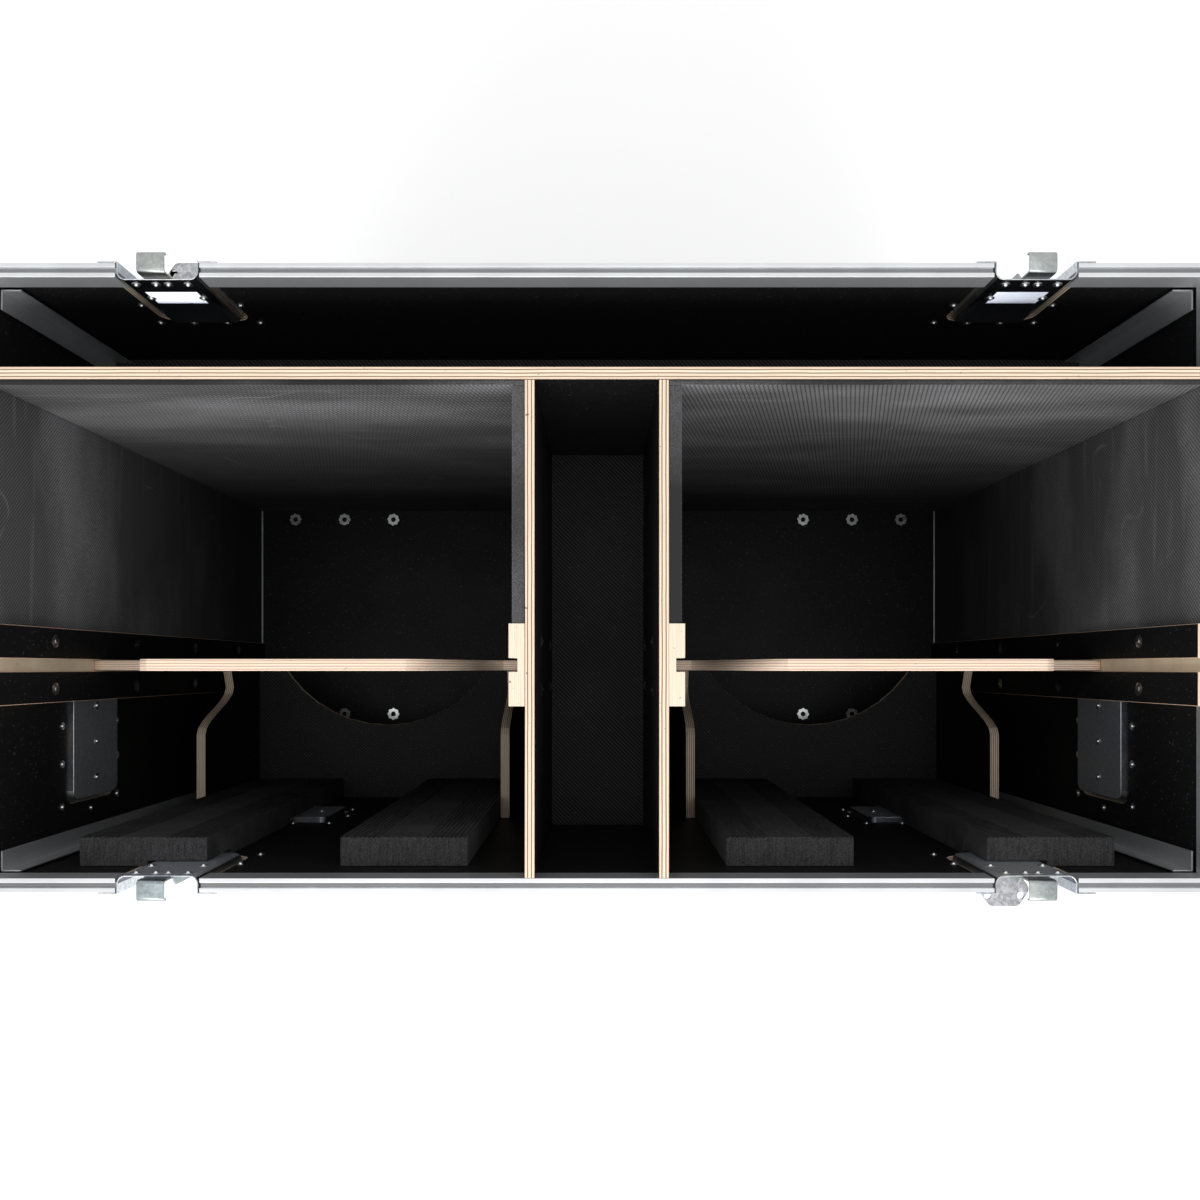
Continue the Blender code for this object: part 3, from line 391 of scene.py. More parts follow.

# %% [markdown]
# The foam is closed-cell and charcoal. Its sheets are embossed with a fine diagonal grid from the
# belt they were made on, and rubbed paler where things have slid past. The rubbing and the colour
# are painted darker towards the floor, as painted shade below the open top, so they are palest
# near the rim. Cut faces show the cells as streaks, and the strips' faces that look up are painted
# paler, as painted light from above. A little sheen stands for the open cells that catch light at
# a grazing angle, and it fades towards the floor with the painted shade. The grips and tyres are
# black too, but moulded, with a fine leathery skin.


# %% Foam, plastic and rubber
def foam(name, plane, tone, rubbed, top_light, sheen=0.5, pitch=4.4 * mm, streaks=None,
         slant=1.0):
    """Foam embossed in the plane of two axes. A slant below 1 makes the grid's lines steeper."""
    material, tree, shader = new_finish(name)
    place, axes = object_place(tree)
    second = maths(tree, "MULTIPLY", axes[plane[1]], slant)
    lines = diagonal_mesh(tree, axes[plane[0]], second, pitch)
    normals = add(tree, "ShaderNodeNewGeometry", {}).outputs["Normal"]
    sides = add(tree, "ShaderNodeSeparateXYZ", {0: normals}).outputs
    flat = maths(tree, "ABSOLUTE", sides[3 - sum(plane)])
    upward = remap(tree, sides[2], 0.0, 1.0, 0.3, 0.8)
    emboss = maths(tree, "MULTIPLY", remap(tree, lines, 0.0, 1.0, -0.2, 0.9), flat)
    cells = grains(tree, place, 1000.0, 3.0)
    scuff = remap(tree, grains(tree, place, 5.5, 7.0, (0.6, 0.6, 1.6)), 0.0, 1.0, 0.44, 0.66)
    drag = remap(tree, grains(tree, place, 17.0, 6.0, (0.3, 0.3, 4.0)), 0.0, 1.0, 0.55, 0.8)
    worn = maths(tree, "MAXIMUM", scuff, maths(tree, "MULTIPLY", drag, 0.7))
    if streaks:
        lamination = grains(tree, place, 120.0, 3.0, streaks)
        worn = maths(tree, "MAXIMUM", worn, remap(tree, lamination, 0.0, 1.0, 0.35, 0.75))
    # Painted shade: reach runs from 1 near the rim down to 0.12 near the floor. It darkens the
    # rubbing, the colour and the sheen below, for the shade deep in the case.
    reach = remap(tree, axes[2], 0.12, 1.0, floor_top + 120 * mm, rim_top - 110 * mm)
    ridge = maths(tree, "ABSOLUTE", maths(tree, "SUBTRACT", grains(tree, place, 4.0, 2.0), 0.5))
    scratch = remap(tree, ridge, 0.9, 0.0, 0.0, 0.005)
    patch = remap(tree, grains(tree, place, 13.0, 3.0), 0.0, 1.0, 0.48, 0.62)
    worn = maths(tree, "MAXIMUM", worn, maths(tree, "MULTIPLY", scratch, patch))
    worn = maths(tree, "MULTIPLY", worn, reach)
    sawn = remap(tree, grains(tree, place, 170.0, 3.0, (3, 0.3, 0.3)), 0.45, 1.15, 0.3, 0.7)
    # Painted light: faces that look up are painted paler by top_light, in the sawn streaks.
    top = maths(tree, "MULTIPLY", maths(tree, "MULTIPLY", upward, top_light), sawn)
    worn = maths(tree, "MAXIMUM", worn, top)
    shade = maths(tree, "MULTIPLY", worn, remap(tree, cells, 0.3, 1.6, 0.35, 0.65))
    # Painted shade: the base tone falls to a fifth of itself towards the floor.
    shaded_tone = mix(tree, reach, (tone * 0.2, tone * 0.2, tone * 0.2, 1),
                (tone, tone * 0.98, tone * 1.02, 1))
    colour = mix(tree, shade, shaded_tone, (rubbed, rubbed * 0.98, rubbed * 1.02, 1))
    # Where top_light is low, faces that look up are painted darker instead.
    closed = maths(tree, "MULTIPLY", upward, 0.6 * (1 - top_light))
    pressed = maths(tree, "MAXIMUM", maths(tree, "MULTIPLY", emboss, 0.6), closed)
    colour = mix(tree, pressed, colour, (0.004, 0.004, 0.004, 1))
    fuzz = maths(tree, "MULTIPLY", reach, remap(tree, emboss, sheen, sheen * 0.3))
    fill(tree, shader, {"Sheen Weight": fuzz, "Sheen Roughness": 0.45})
    height = maths(tree, "ADD", emboss, maths(tree, "MULTIPLY", cells, 0.6))
    surface(tree, shader, colour, 0.92, height, 0.18 * mm, specular=0.2)
    return material


def moulded(name, tone, roughness, skin=900.0):
    material, tree, shader = new_finish(name)
    place, _ = object_place(tree)
    pebble = grains(tree, place, skin, 3.0)
    dust = remap(tree, grains(tree, place, 40.0, 5.0), 0.0, 1.0, 0.5, 0.85)
    grey = tuple(channel * 3 for channel in tone)
    colour = mix(tree, maths(tree, "MULTIPLY", dust, 0.5), (*tone, 1), (*grey, 1))
    rough = remap(tree, pebble, roughness - 0.1, roughness + 0.1)
    surface(tree, shader, colour, rough, pebble, 0.06 * mm)
    return material


front_foam = foam("front_foam", (0, 2), tone=0.038, rubbed=0.25, top_light=0.0, slant=0.25)
side_foam = foam("side_foam", (1, 2), tone=0.052, rubbed=0.25, top_light=0.0)
# The strips' top_light paints their faces that look up paler, as painted light from above.
cut_foam = foam("cut_foam", (0, 2), tone=0.010, rubbed=0.072, sheen=0.07, pitch=2.6 * mm,
                streaks=(3, 0.2, 0.2), top_light=0.9)
grip_plastic = moulded("grip_plastic", (0.016, 0.016, 0.017), 0.5)
tyre_rubber = moulded("tyre_rubber", (0.03, 0.03, 0.032), 0.75, 500.0)
hub_plastic = moulded("hub_plastic", (0.02, 0.021, 0.024), 0.42)
print("foams and mouldings ready")

# %% [markdown]
# The construction's meshes have razor edges, which no sawn, pressed or drawn piece has. Each
# visible node is copied, its triangles are merged into clean flat faces, and a small bevel rounds
# its edges so that they catch the light. The bevel bends the shading of the broad faces beside it,
# so their corners are pointed straight out again. The copy is exact in place and stands for its
# node. A rule given with the node picks the finish of each face before the bevel, so that a board
# gets film on its faces and plies on its edges.


# %% Dress a node
merge_distance = 0.02 * mm
flat_angle = radians(0.6)
edge_angle = radians(28)
board_rounding = 0.4 * mm
broad_face = (30 * mm) ** 2


def merged_mesh(node):
    bm = bmesh.new()
    bm.from_mesh(nodes[node].data)
    bmesh.ops.remove_doubles(bm, verts=bm.verts, dist=merge_distance)
    bmesh.ops.dissolve_limit(bm, angle_limit=flat_angle, verts=bm.verts, edges=bm.edges)
    return bm


def new_piece(name, bm, finishes):
    mesh = bpy.data.meshes.new(name)
    bm.to_mesh(mesh)
    bm.free()
    piece = bpy.data.objects.new(name, mesh)
    bpy.context.collection.objects.link(piece)
    for finish in finishes:
        mesh.materials.append(finish)
    return piece


def settle(piece):
    """Turns what the modifiers make into the piece's own mesh."""
    graph = bpy.context.evaluated_depsgraph_get()
    mesh = bpy.data.meshes.new_from_object(piece.evaluated_get(graph))
    piece.modifiers.clear()
    piece.data = mesh
    return piece


def flatten(piece):
    """Points the corners of every broad face straight out, so that it shades as a flat board."""
    mesh = piece.data
    normals = [corner.vector.copy() for corner in mesh.corner_normals]
    for face in mesh.polygons:
        if face.area > broad_face:
            for corner in face.loop_indices:
                normals[corner] = face.normal.copy()
    mesh.normals_split_custom_set(normals)
    return piece


def soften(piece, width, segments=2, chamfer=-1):
    for face in piece.data.polygons:
        face.use_smooth = True
    bevel = piece.modifiers.new("soft_edges", "BEVEL")
    bevel.width = width
    bevel.segments = segments
    bevel.limit_method = "ANGLE"
    bevel.angle_limit = edge_angle
    bevel.harden_normals = True
    bevel.material = chamfer
    bevel.use_clamp_overlap = True
    return flatten(settle(piece))


def split(bm, axis, place):
    """Cuts the faces that cross a plane, so that each side can have its own finish."""
    normal = [1 if k == axis else 0 for k in range(3)]
    geometry = bm.verts[:] + bm.edges[:] + bm.faces[:]
    bmesh.ops.bisect_plane(bm, geom=geometry, plane_co=[place * k for k in normal], plane_no=normal)


def dress(node, part, finishes, pick=None, edge=board_rounding, segments=2, chamfer=-1,
          seams=()):
    """A softened copy of the node, riding on its body and standing for it. A chamfer of -1 takes
    the finish of the faces beside it. Seams are X places where one board ends and the next begins."""
    bm = merged_mesh(node)
    for place in seams:
        split(bm, 0, place)
    for face in bm.faces:
        face.material_index = pick(face) if pick else 0
    piece = soften(new_piece(node + "_" + part, bm, finishes), edge, segments, chamfer)
    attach(piece, nodes[node]["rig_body"])
    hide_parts(node)
    return piece


def film_on(axis):
    """Face rule for a board: 0 for its two film faces, 1 for its sawn edges."""
    return lambda face: 0 if abs(face.normal[axis]) > 0.7 else 1


print("bevels of", round(board_rounding / mm, 1), "mm on boards")

# %% [markdown]
# The outer box first. Each wall is film inside, meshed film outside, and pale plies round the
# openings for the dishes. The four caster plates are one solid with the floor, and a face below
# the board's underside belongs to them.


# %% Walls and floor
def wall_rule(axis, out):
    """0 smooth film inside, 1 meshed film outside, 2 sawn edge."""
    def rule(face):
        if abs(face.normal[axis]) < 0.7:
            return 2
        return 1 if face.normal[axis] * out > 0 else 0
    return rule


for wall, axis, out, outside in (("front", 1, -1, front_film), ("rear", 1, 1, front_film),
                                 ("left", 0, -1, side_film), ("right", 0, 1, side_film)):
    node = wall + "_wall"
    board_edge = ply_of(node, axis)
    dress(node, "board", [smooth_film, outside, board_edge], wall_rule(axis, out))

floor_board = ply_edge("floor_edge", 2, floor_low, floor_top - floor_low, 7)


def floor_rule(face):
    if face.calc_center_median().z < floor_low - seat_gap:
        return 2
    return 0 if abs(face.normal.z) > 0.7 else 1


dress("floor_panel", "board", [smooth_film, floor_board, zinc], floor_rule)
print("walls and floor dressed")

# %% [markdown]
# Inside, the partition, dividers, shelves, cradles and bars are the same ply. Their top edges are
# what the eye meets first, so each gets its own count of plies. A divider's slot rail is thicker
# and paler than the divider, with fainter lines, and a cradle has an upright board on each side of
# a flat one. Where two boards are one solid, the face's place tells them apart.


# %% Boards inside
rail_pale = (0.95, 0.85, 0.70)
rail_brown = (0.80, 0.62, 0.44)
divider_ply = 9.5 * mm
deck_ply = 9.5 * mm
cheek_ply = 12 * mm
rail_rounding = 0.5 * mm
bar_rounding = 1.2 * mm
dress("rear_partition", "board", [smooth_film, partition_edge], film_on(1))
dress("rear_shelf", "board", [floor_film, ply_of("rear_shelf", 2)], film_on(2))
dress("centre_shelf", "board", [floor_film, ply_of("centre_shelf", 2)], film_on(2))


def divider_finishes(hand, side):
    """Film, the divider's edge and the rail's edge, and the rule that tells them apart."""
    low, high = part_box(hand + "_divider")
    inner = min(abs(low.x), abs(high.x))
    outer = inner + divider_ply
    board_low = min(side * inner, side * outer)
    rail_low = min(side * outer, side * max(abs(low.x), abs(high.x)))
    rail_width = max(abs(low.x), abs(high.x)) - outer
    finishes = [smooth_film, ply_edge(hand + "_divider_edge", 0, board_low, divider_ply, 5),
                ply_edge(hand + "_rail_edge", 0, rail_low, rail_width, 15, rail_pale, rail_brown,
                         0.5)]

    def rule(face):
        if abs(face.normal.x) > 0.7:
            return 0
        return 1 if abs(face.calc_center_median().x) < outer else 2
    return finishes, rule, side * outer


def cradle_finishes(hand, side):
    """Deck film and edge, and cheek film and edges."""
    low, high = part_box(hand + "_cradle")
    near = min(abs(low.x), abs(high.x))
    far = max(abs(low.x), abs(high.x))
    inner_cheek = min(side * near, side * (near + cheek_ply))
    outer_cheek = min(side * far, side * (far - cheek_ply))
    deck_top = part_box("left_inner_strip")[0].z - seat_gap
    finishes = [
        deck_film, ply_edge(hand + "_deck_edge", 2, deck_top - deck_ply, deck_ply, 7), smooth_film,
        ply_edge(hand + "_inner_cheek_edge", 0, inner_cheek, cheek_ply, 9),
        ply_edge(hand + "_outer_cheek_edge", 0, outer_cheek, cheek_ply, 9),
    ]

    cheek_zone = 1.2 * cheek_ply

    def rule(face):
        across = abs(face.calc_center_median().x)
        at_cheek = across < near + cheek_zone or across > far - cheek_zone
        if at_cheek and abs(face.normal.x) > 0.95:
            return 2
        if across < near + cheek_ply:
            return 3
        if across > far - cheek_ply:
            return 4
        return 0 if abs(face.normal.z) > 0.7 else 1
    return finishes, rule


for hand, side in (("left", -1), ("right", 1)):
    finishes, rule, seam = divider_finishes(hand, side)
    dress(hand + "_divider", "board", finishes, rule, seams=(seam,))
    finishes, rule = cradle_finishes(hand, side)
    dress(hand + "_cradle", "boards", finishes, rule)
    low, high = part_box(hand + "_wall_rail")
    rail_edge = ply_of(hand + "_wall_rail", 0, plies=11)

    def plank_rule(face, low=low, high=high):
        x = face.calc_center_median().x
        on_face = min(abs(x - low.x), abs(x - high.x)) < seat_gap
        return 0 if on_face and abs(face.normal.x) > 0.7 else 1

    dress(hand + "_wall_rail", "plank", [smooth_film, rail_edge], plank_rule,
          rail_rounding, chamfer=1)
    bar_edge = ply_of(hand + "_bar", 1, plies=9, pale=(0.97, 0.80, 0.65), brown=(0.56, 0.36, 0.27))
    dress(hand + "_bar", "board", [smooth_film, bar_edge], film_on(1), bar_rounding)
print("boards inside dressed")

# %% [markdown]
# The closing profile round the rim and the angles on the other edges are the same extrusion
# family and share one finish. On the rim its fine lines run along each length. The angles run
# three ways in one solid, so there the lines have no direction. The ball corners are pressed and
# belong to that solid too. The bevel is wider here than on the boards, because a drawn edge is
# rounder than a sawn one.

# %% Profiles and corners
groove_reach = 8 * mm
rim_rounding = 0.55 * mm
angle_rounding = 0.5 * mm


def groove_rule(face):
    """1 for the floor of the groove in the rim's top, which is painted darker as painted shade in the
    groove.
    """
    place = face.calc_center_median()
    in_groove = rim_top - groove_reach < place.z < rim_top - mm
    return 1 if in_groove and face.normal.z > 0.7 else 0


for metal, groove, ends in ((profile_metal, shaded_groove_metal, ("front", "rear")),
                            (side_metal, shaded_side_groove, ("left", "right"))):
    for end in ends:
        dress(end + "_rim", "profile", [metal, groove], groove_rule, rim_rounding, 3)
dress("outer_frame", "angles", [corner_metal], edge=angle_rounding)
print("profiles dressed")

# %% [markdown]
# Latches, handles and casters are zinc-plated pressings. A dish has three finishes, one each for
# its flange, the sides of its pan and the back of its pan, told apart by how deep a face lies. The
# sides of the pan are painted near black, as painted shade in the recess. A wheel has two, told
# apart by the distance of a face from the axle.

# %% Latches, handles and casters
tyre_band = 15 * mm
flange_depth = 2 * mm
latch_back = 12 * mm
handle_back = 14 * mm
dish_rounding = 0.45 * mm
wing_rounding = 0.5 * mm
channel_rounding = 0.6 * mm
tyre_rounding = 1.2 * mm
corner_spots = ("front_left", "front_right", "rear_left", "rear_right")
handle_places = corner_spots + ("left", "right")


def pan_rule(spot, back):
    """0 for the flange, 1 for the sides of the pan, 2 for its back, which faces into the case."""
    axis = 1 if spot in corner_spots else 0
    surface_out = rear_out if axis else side_out

    def rule(face):
        depth = surface_out - abs(face.calc_center_median()[axis])
        if depth > back and abs(face.normal[axis]) > 0.7:
            return 2
        return 1 if depth > flange_depth else 0
    return rule


for spot in corner_spots:
    back_finish = latch_pan if spot.startswith("rear") else dull_steel
    dress(spot + "_latch_dish", "pressing", [zinc, shaded_pan_side, back_finish],
          pan_rule(spot, latch_back), dish_rounding, chamfer=0)
    dress(spot + "_latch_hook", "channel", [hook_steel], edge=channel_rounding)
    dress(spot + "_latch_wing", "plate", [spangled_zinc], edge=wing_rounding)
    dress(spot + "_caster_fork", "pressing", [zinc], edge=channel_rounding)
    axle = middle_of(spot + "_caster_wheel")
    tyre_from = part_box(spot + "_caster_wheel")[1].z - axle.z - tyre_band

    def wheel_rule(face, axle=axle, tyre_from=tyre_from):
        away = face.calc_center_median() - axle
        return 0 if Vector((away.x, away.z)).length > tyre_from else 1

    dress(spot + "_caster_wheel", "tyre", [tyre_rubber, hub_plastic], wheel_rule,
          tyre_rounding, 3)
for spot in handle_places:
    dress(spot + "_handle_dish", "pressing", [zinc, shaded_pan_side, dull_steel],
          pan_rule(spot, handle_back), dish_rounding, chamfer=0)
print("hardware dressed")

# %% [markdown]
# What repeats is made with Geometry Nodes: rivets, screws, T-nuts, bolts and the ribs of the grips.
# Each is a set of points, a shape on each point, then Realize Instances and Set Material. The same
# recipe, with another shape, serves every repeated piece in this file, so the helper that runs a
# tree and turns its result into a plain mesh comes first.


# %% Run a node tree on a piece
def new_tree(title, inputs):
    """An empty geometry tree with named inputs, given as name to socket type."""
    tree = bpy.data.node_groups.new(title, "GeometryNodeTree")
    tree.interface.new_socket("Geometry", in_out="INPUT", socket_type="NodeSocketGeometry")
    for label, kind in inputs.items():
        tree.interface.new_socket(label, in_out="INPUT", socket_type="NodeSocket" + kind)
    tree.interface.new_socket("Geometry", in_out="OUTPUT", socket_type="NodeSocketGeometry")
    start = tree.nodes.new("NodeGroupInput").outputs
    return tree, start


def vector(tree, **axes):
    return add(tree, "ShaderNodeCombineXYZ", axes).outputs[0]


def move(tree, geometry, distance):
    """Moves a geometry up its own Z axis."""
    return add(tree, "GeometryNodeTransform",
               {"Geometry": geometry, "Translation": vector(tree, Z=distance)}).outputs[0]


def join(tree, *parts):
    joined = tree.nodes.new("GeometryNodeJoinGeometry")
    for part in parts:
        tree.links.new(part, joined.inputs[0])
    return joined.outputs[0]


def end_tree(tree, geometry, material):
    """Every tree ends in real faces with a finish."""
    real = add(tree, "GeometryNodeRealizeInstances", {"Geometry": geometry}).outputs[0]
    painted = add(tree, "GeometryNodeSetMaterial", {"Geometry": real, "Material": material})
    tree.links.new(painted.outputs[0], tree.nodes.new("NodeGroupOutput").inputs[0])


def grow(piece, tree, values):
    """Puts the tree on the piece, sets its inputs by identifier and keeps the mesh it makes."""
    modifier = piece.modifiers.new(tree.name, "NODES")
    modifier.node_group = tree
    for item in tree.interface.items_tree:
        if item.in_out == "INPUT" and item.name in values:
            modifier[item.identifier] = values[item.name]
    return settle(piece)


def spots_piece(name, spots):
    """A mesh of bare points, each with the direction that its fastener faces."""
    mesh = bpy.data.meshes.new(name)
    mesh.from_pydata([place for place, _ in spots], [], [])
    facing = mesh.attributes.new("facing", "FLOAT_VECTOR", "POINT")
    for point, (_, direction) in zip(facing.data, spots):
        point.vector = direction
    piece = bpy.data.objects.new(name, mesh)
    bpy.context.collection.objects.link(piece)
    return piece


def put_on_spots(tree, start, shape):
    """Sets the shape on each point, turned to its facing, with a random turn about it."""
    facing = add(tree, "GeometryNodeInputNamedAttribute", {"Name": "facing"},
                 data_type="FLOAT_VECTOR").outputs[0]
    aligned = add(tree, "FunctionNodeAlignRotationToVector", {"Vector": facing}, axis="Z")
    placed = add(tree, "GeometryNodeInstanceOnPoints",
                 {"Points": start["Geometry"], "Instance": shape, "Rotation": aligned.outputs[0]})
    turn = add(tree, "FunctionNodeRandomValue", {3: 2 * pi, "Seed": start["Seed"]},
               data_type="FLOAT").outputs[1]
    turned = add(tree, "GeometryNodeRotateInstances",
                 {"Instances": placed.outputs[0], "Rotation": vector(tree, Z=turn)})
    return turned.outputs[0]


print("tree helpers ready")

# %% [markdown]
# A flight case is held together by hundreds of rivets. Outside, each is a low dome with a thin
# collar. Inside, the clenched tail shows as a washer with a small bright dome. Both are one tree:
# a squashed sphere on a cylinder. The sphere has few faces, because the shape is repeated so
# often.


# %% Rivet tree
def squashed_ball(tree, start, segments, rings):
    """A ball of the head's radius, squashed to its height."""
    ball = add(tree, "GeometryNodeMeshUVSphere",
               {"Segments": segments, "Rings": rings, "Radius": start["Head radius"]}).outputs[0]
    squash = maths(tree, "DIVIDE", start["Head height"], start["Head radius"])
    return add(tree, "GeometryNodeTransform",
               {"Geometry": ball, "Scale": vector(tree, X=1.0, Y=1.0, Z=squash)}).outputs[0]


def rivet_tree():
    inputs = {"Head radius": "Float", "Head height": "Float", "Collar radius": "Float",
              "Collar height": "Float", "Seed": "Int", "Material": "Material"}
    tree, start = new_tree("rivets", inputs)
    ball = squashed_ball(tree, start, segments=10, rings=6)
    dome = move(tree, ball, start["Collar height"])
    dome = add(tree, "GeometryNodeSetShadeSmooth", {"Geometry": dome}).outputs[0]
    collar = add(tree, "GeometryNodeMeshCylinder",
                 {"Vertices": 12, "Radius": start["Collar radius"],
                  "Depth": maths(tree, "MULTIPLY", start["Collar height"], 2.0)}).outputs[0]
    end_tree(tree, put_on_spots(tree, start, join(tree, dome, collar)), start["Material"])
    return tree


rivets = rivet_tree()
rivet_metal = zinc_steel("rivet_metal", (0.86, 0.87, 0.88), (0.62, 0.63, 0.64), 0.2)
outer_head = {"Head radius": 3.6 * mm, "Head height": 1.5 * mm, "Collar radius": 4.2 * mm,
              "Collar height": 0.35 * mm, "Seed": 3, "Material": rivet_metal}
inner_tail = {"Head radius": 2.3 * mm, "Head height": 1.9 * mm, "Collar radius": 4.4 * mm,
              "Collar height": 0.5 * mm, "Seed": 5, "Material": rivet_metal}
print("rivet tree has", len(rivets.nodes), "nodes")

# %% [markdown]
# Places for the rivets. A row is a start, an end and a count. A wall's fittings are listed once in
# the wall's own plane, along it and up, and turned to each wall, so that outside heads and inside
# tails always line up.


# %% Rivet places
def row(start, end, count, facing):
    """Evenly spaced spots from start to end, all with one facing."""
    first, last = Vector(start), Vector(end)
    return [(first.lerp(last, k / (count - 1)), facing) for k in range(count)]


angle_sheet = 1.5 * mm
angle_width = 30 * mm
angle_out = side_out + seat_gap + angle_sheet
front_angle = front_out - seat_gap - angle_sheet
frame_low = floor_low - seat_gap - angle_sheet
leg_middle = angle_width * 0.55
ball_clear = 85 * mm
top_clear = 60 * mm
corner_top = rim_low - top_clear
corner_foot = frame_low + ball_clear
heads = []
for side in (-1, 1):
    for end, face in ((1, -front_angle), (-1, front_angle)):
        for x, y, facing in ((side * (angle_out - leg_middle), face, (0, end, 0)),
                             (side * angle_out, face - end * leg_middle, (side, 0, 0))):
            heads += row((x, y, corner_foot), (x, y, corner_top), 9, facing)
    low_row = frame_low + leg_middle
    heads += row((side * angle_out, front_angle + ball_clear, low_row),
                 (side * angle_out, -front_angle - ball_clear, low_row), 6, (side, 0, 0))
    heads += row((-angle_out + ball_clear, side * front_angle, low_row),
                 (angle_out - ball_clear, side * front_angle, low_row), 13, (0, -side, 0))
print(len(heads), "rivets in the angles")

# %% [markdown]
# The rim profile is riveted through its outer leg, between the latch dishes and round the ends.
# The ball corners have two rivets in each upright lobe.

# %% Rivets of the rim and the ball corners
rim_row = rim_low + 9 * mm
clear_of_latch = 75 * mm
rim_end_clear = 25 * mm
side_row_from = 40 * mm
side_row_clear = 30 * mm
tails = []
for end in (-1, 1):
    facing = (0, end, 0)
    y = end * -rim_out
    heads += row((-latch_x + clear_of_latch, y, rim_row), (latch_x - clear_of_latch, y, rim_row), 7,
                 facing)
    for side in (-1, 1):
        heads += row((side * (latch_x + clear_of_latch), y, rim_row),
                     (side * (angle_out - rim_end_clear), y, rim_row), 2, facing)
        heads += row((side * angle_out, end * side_row_from, rim_row),
                     (side * angle_out, end * (-rim_out - side_row_clear), rim_row), 3,
                     (side, 0, 0))
ball_sheet = 1.5 * mm
lobe_near = 20 * mm
lobe_far = 38 * mm
for side in (-1, 1):
    for end in (-1, 1):
        for near, far in ((lobe_near, lobe_far), (lobe_far, lobe_near)):
            heads.append((Vector((side * (angle_out + ball_sheet), end * (-front_angle - near),
                                  frame_low + far)), (side, 0, 0)))
            heads.append((Vector((side * (angle_out - near), end * (-front_angle + ball_sheet),
                                  frame_low + far)), (0, end, 0)))
print(len(heads), "outside heads so far")

# %% [markdown]
# The dishes are riveted round their flanges. A handle dish has four above, four below and one at
# each end. A latch dish has one at each side and four along its foot, and more through the back
# of its pan, which hold the guide of the hook. The places are in millimetres along the wall and
# up it, from the middle of a handle dish and from the rim's top over the middle of a latch dish.

# %% Rivets of the dishes
walls = {
    "front": (Vector((1, 0, 0)), Vector((0, -1, 0)), -front_out),
    "rear": (Vector((1, 0, 0)), Vector((0, 1, 0)), rear_out),
    "left": (Vector((0, 1, 0)), Vector((-1, 0, 0)), side_out),
    "right": (Vector((0, 1, 0)), Vector((1, 0, 0)), side_out),
}
up = Vector((0, 0, 1))
flange_face = 1.5 * mm
handle_spots = [(x, z) for x in (-68, -21, 21, 68) for z in (-62, 62)] + [(-77, 0), (77, 0)]
handle_back_spots = [(-41.5, 0), (0, 0), (41.5, 0)]
latch_spots = [(x, -132) for x in (-54, -18, 18, 54)] + [(-51, -80), (51, -80)]
latch_back_spots = [(-25, -12), (-6, -12), (6, -12), (25, -12), (-26, -47), (26, -47)]
handle_pan_depth = 16 * mm
latch_pan_depth = 14.2 * mm


def fit_rivets(wall, along, z, spots, back_spots, pan_depth, face):
    """Outside heads and inside tails of a dish, and the tails on the back of its pan."""
    across, out, distance = walls[wall]
    middle = across * along + up * z
    for a, b in spots:
        place = middle + across * (a * mm) + up * (b * mm)
        heads.append((place + out * (distance + face), tuple(out)))
        tails.append((place + out * (distance - wall_ply), tuple(-out)))
    for a, b in back_spots:
        place = middle + across * (a * mm) + up * (b * mm)
        tails.append((place + out * (distance - pan_depth), tuple(-out)))


for spot in corner_spots:
    wall = spot.split("_")[0]
    dish = middle_of(spot + "_handle_dish")
    fit_rivets(wall, dish.x, dish.z, handle_spots, handle_back_spots, handle_pan_depth, flange_face)
    latch = middle_of(spot + "_latch_dish")
    fit_rivets(wall, latch.x, rim_top, latch_spots, latch_back_spots, latch_pan_depth,
               rim_leg + seat_gap + flange_face)
for hand in ("left", "right"):
    dish = middle_of(hand + "_handle_dish")
    fit_rivets(hand, dish.y, dish.z, handle_spots, handle_back_spots, handle_pan_depth, flange_face)
print(len(heads), "outside heads,", len(tails), "inside tails")

# %% Make the rivets
for name, spots, sizes in (("outside_rivets", heads, outer_head),
                           ("inside_rivets", tails, inner_tail)):
    piece = grow(spots_piece(name, spots), rivets, sizes)
    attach(piece, "case")
    print(name, len(piece.data.polygons), "faces")

# %% [markdown]
# T-nuts are pressed into the smooth floor from above, in two rows of three in each bay, for bolts
# that fix other cradles. Seen from above each is a scalloped flange round a threaded hole. The
# flange is a star curve with a circle inside it: filled together they leave the hole open.


# %% T-nuts
def tee_nut_tree():
    inputs = {"Prong reach": "Float", "Waist radius": "Float", "Bore radius": "Float",
              "Rounding": "Float", "Sheet": "Float", "Seed": "Int", "Material": "Material"}
    tree, start = new_tree("tee_nuts", inputs)
    star = add(tree, "GeometryNodeCurveStar",
               {"Points": 8, "Inner Radius": start["Waist radius"],
                "Outer Radius": start["Prong reach"]}).outputs[0]
    soft = add(tree, "GeometryNodeFilletCurve",
               {"Curve": star, "Radius": start["Rounding"], "Count": 3}, mode="POLY").outputs[0]
    bore = add(tree, "GeometryNodeCurvePrimitiveCircle",
               {"Resolution": 16, "Radius": start["Bore radius"]}).outputs[0]
    plate = add(tree, "GeometryNodeFillCurve", {"Curve": join(tree, soft, bore)}).outputs[0]
    lifted = add(tree, "GeometryNodeExtrudeMesh",
                 {"Mesh": plate, "Offset Scale": start["Sheet"], "Individual": False}).outputs[0]
    lip = add(tree, "GeometryNodeMeshCylinder",
              {"Vertices": 16, "Radius": maths(tree, "MULTIPLY", start["Bore radius"], 1.35),
               "Depth": maths(tree, "MULTIPLY", start["Sheet"], 1.4)},
              fill_type="NONE").outputs[0]
    end_tree(tree, put_on_spots(tree, start, join(tree, lifted, lip)), start["Material"])
    return tree


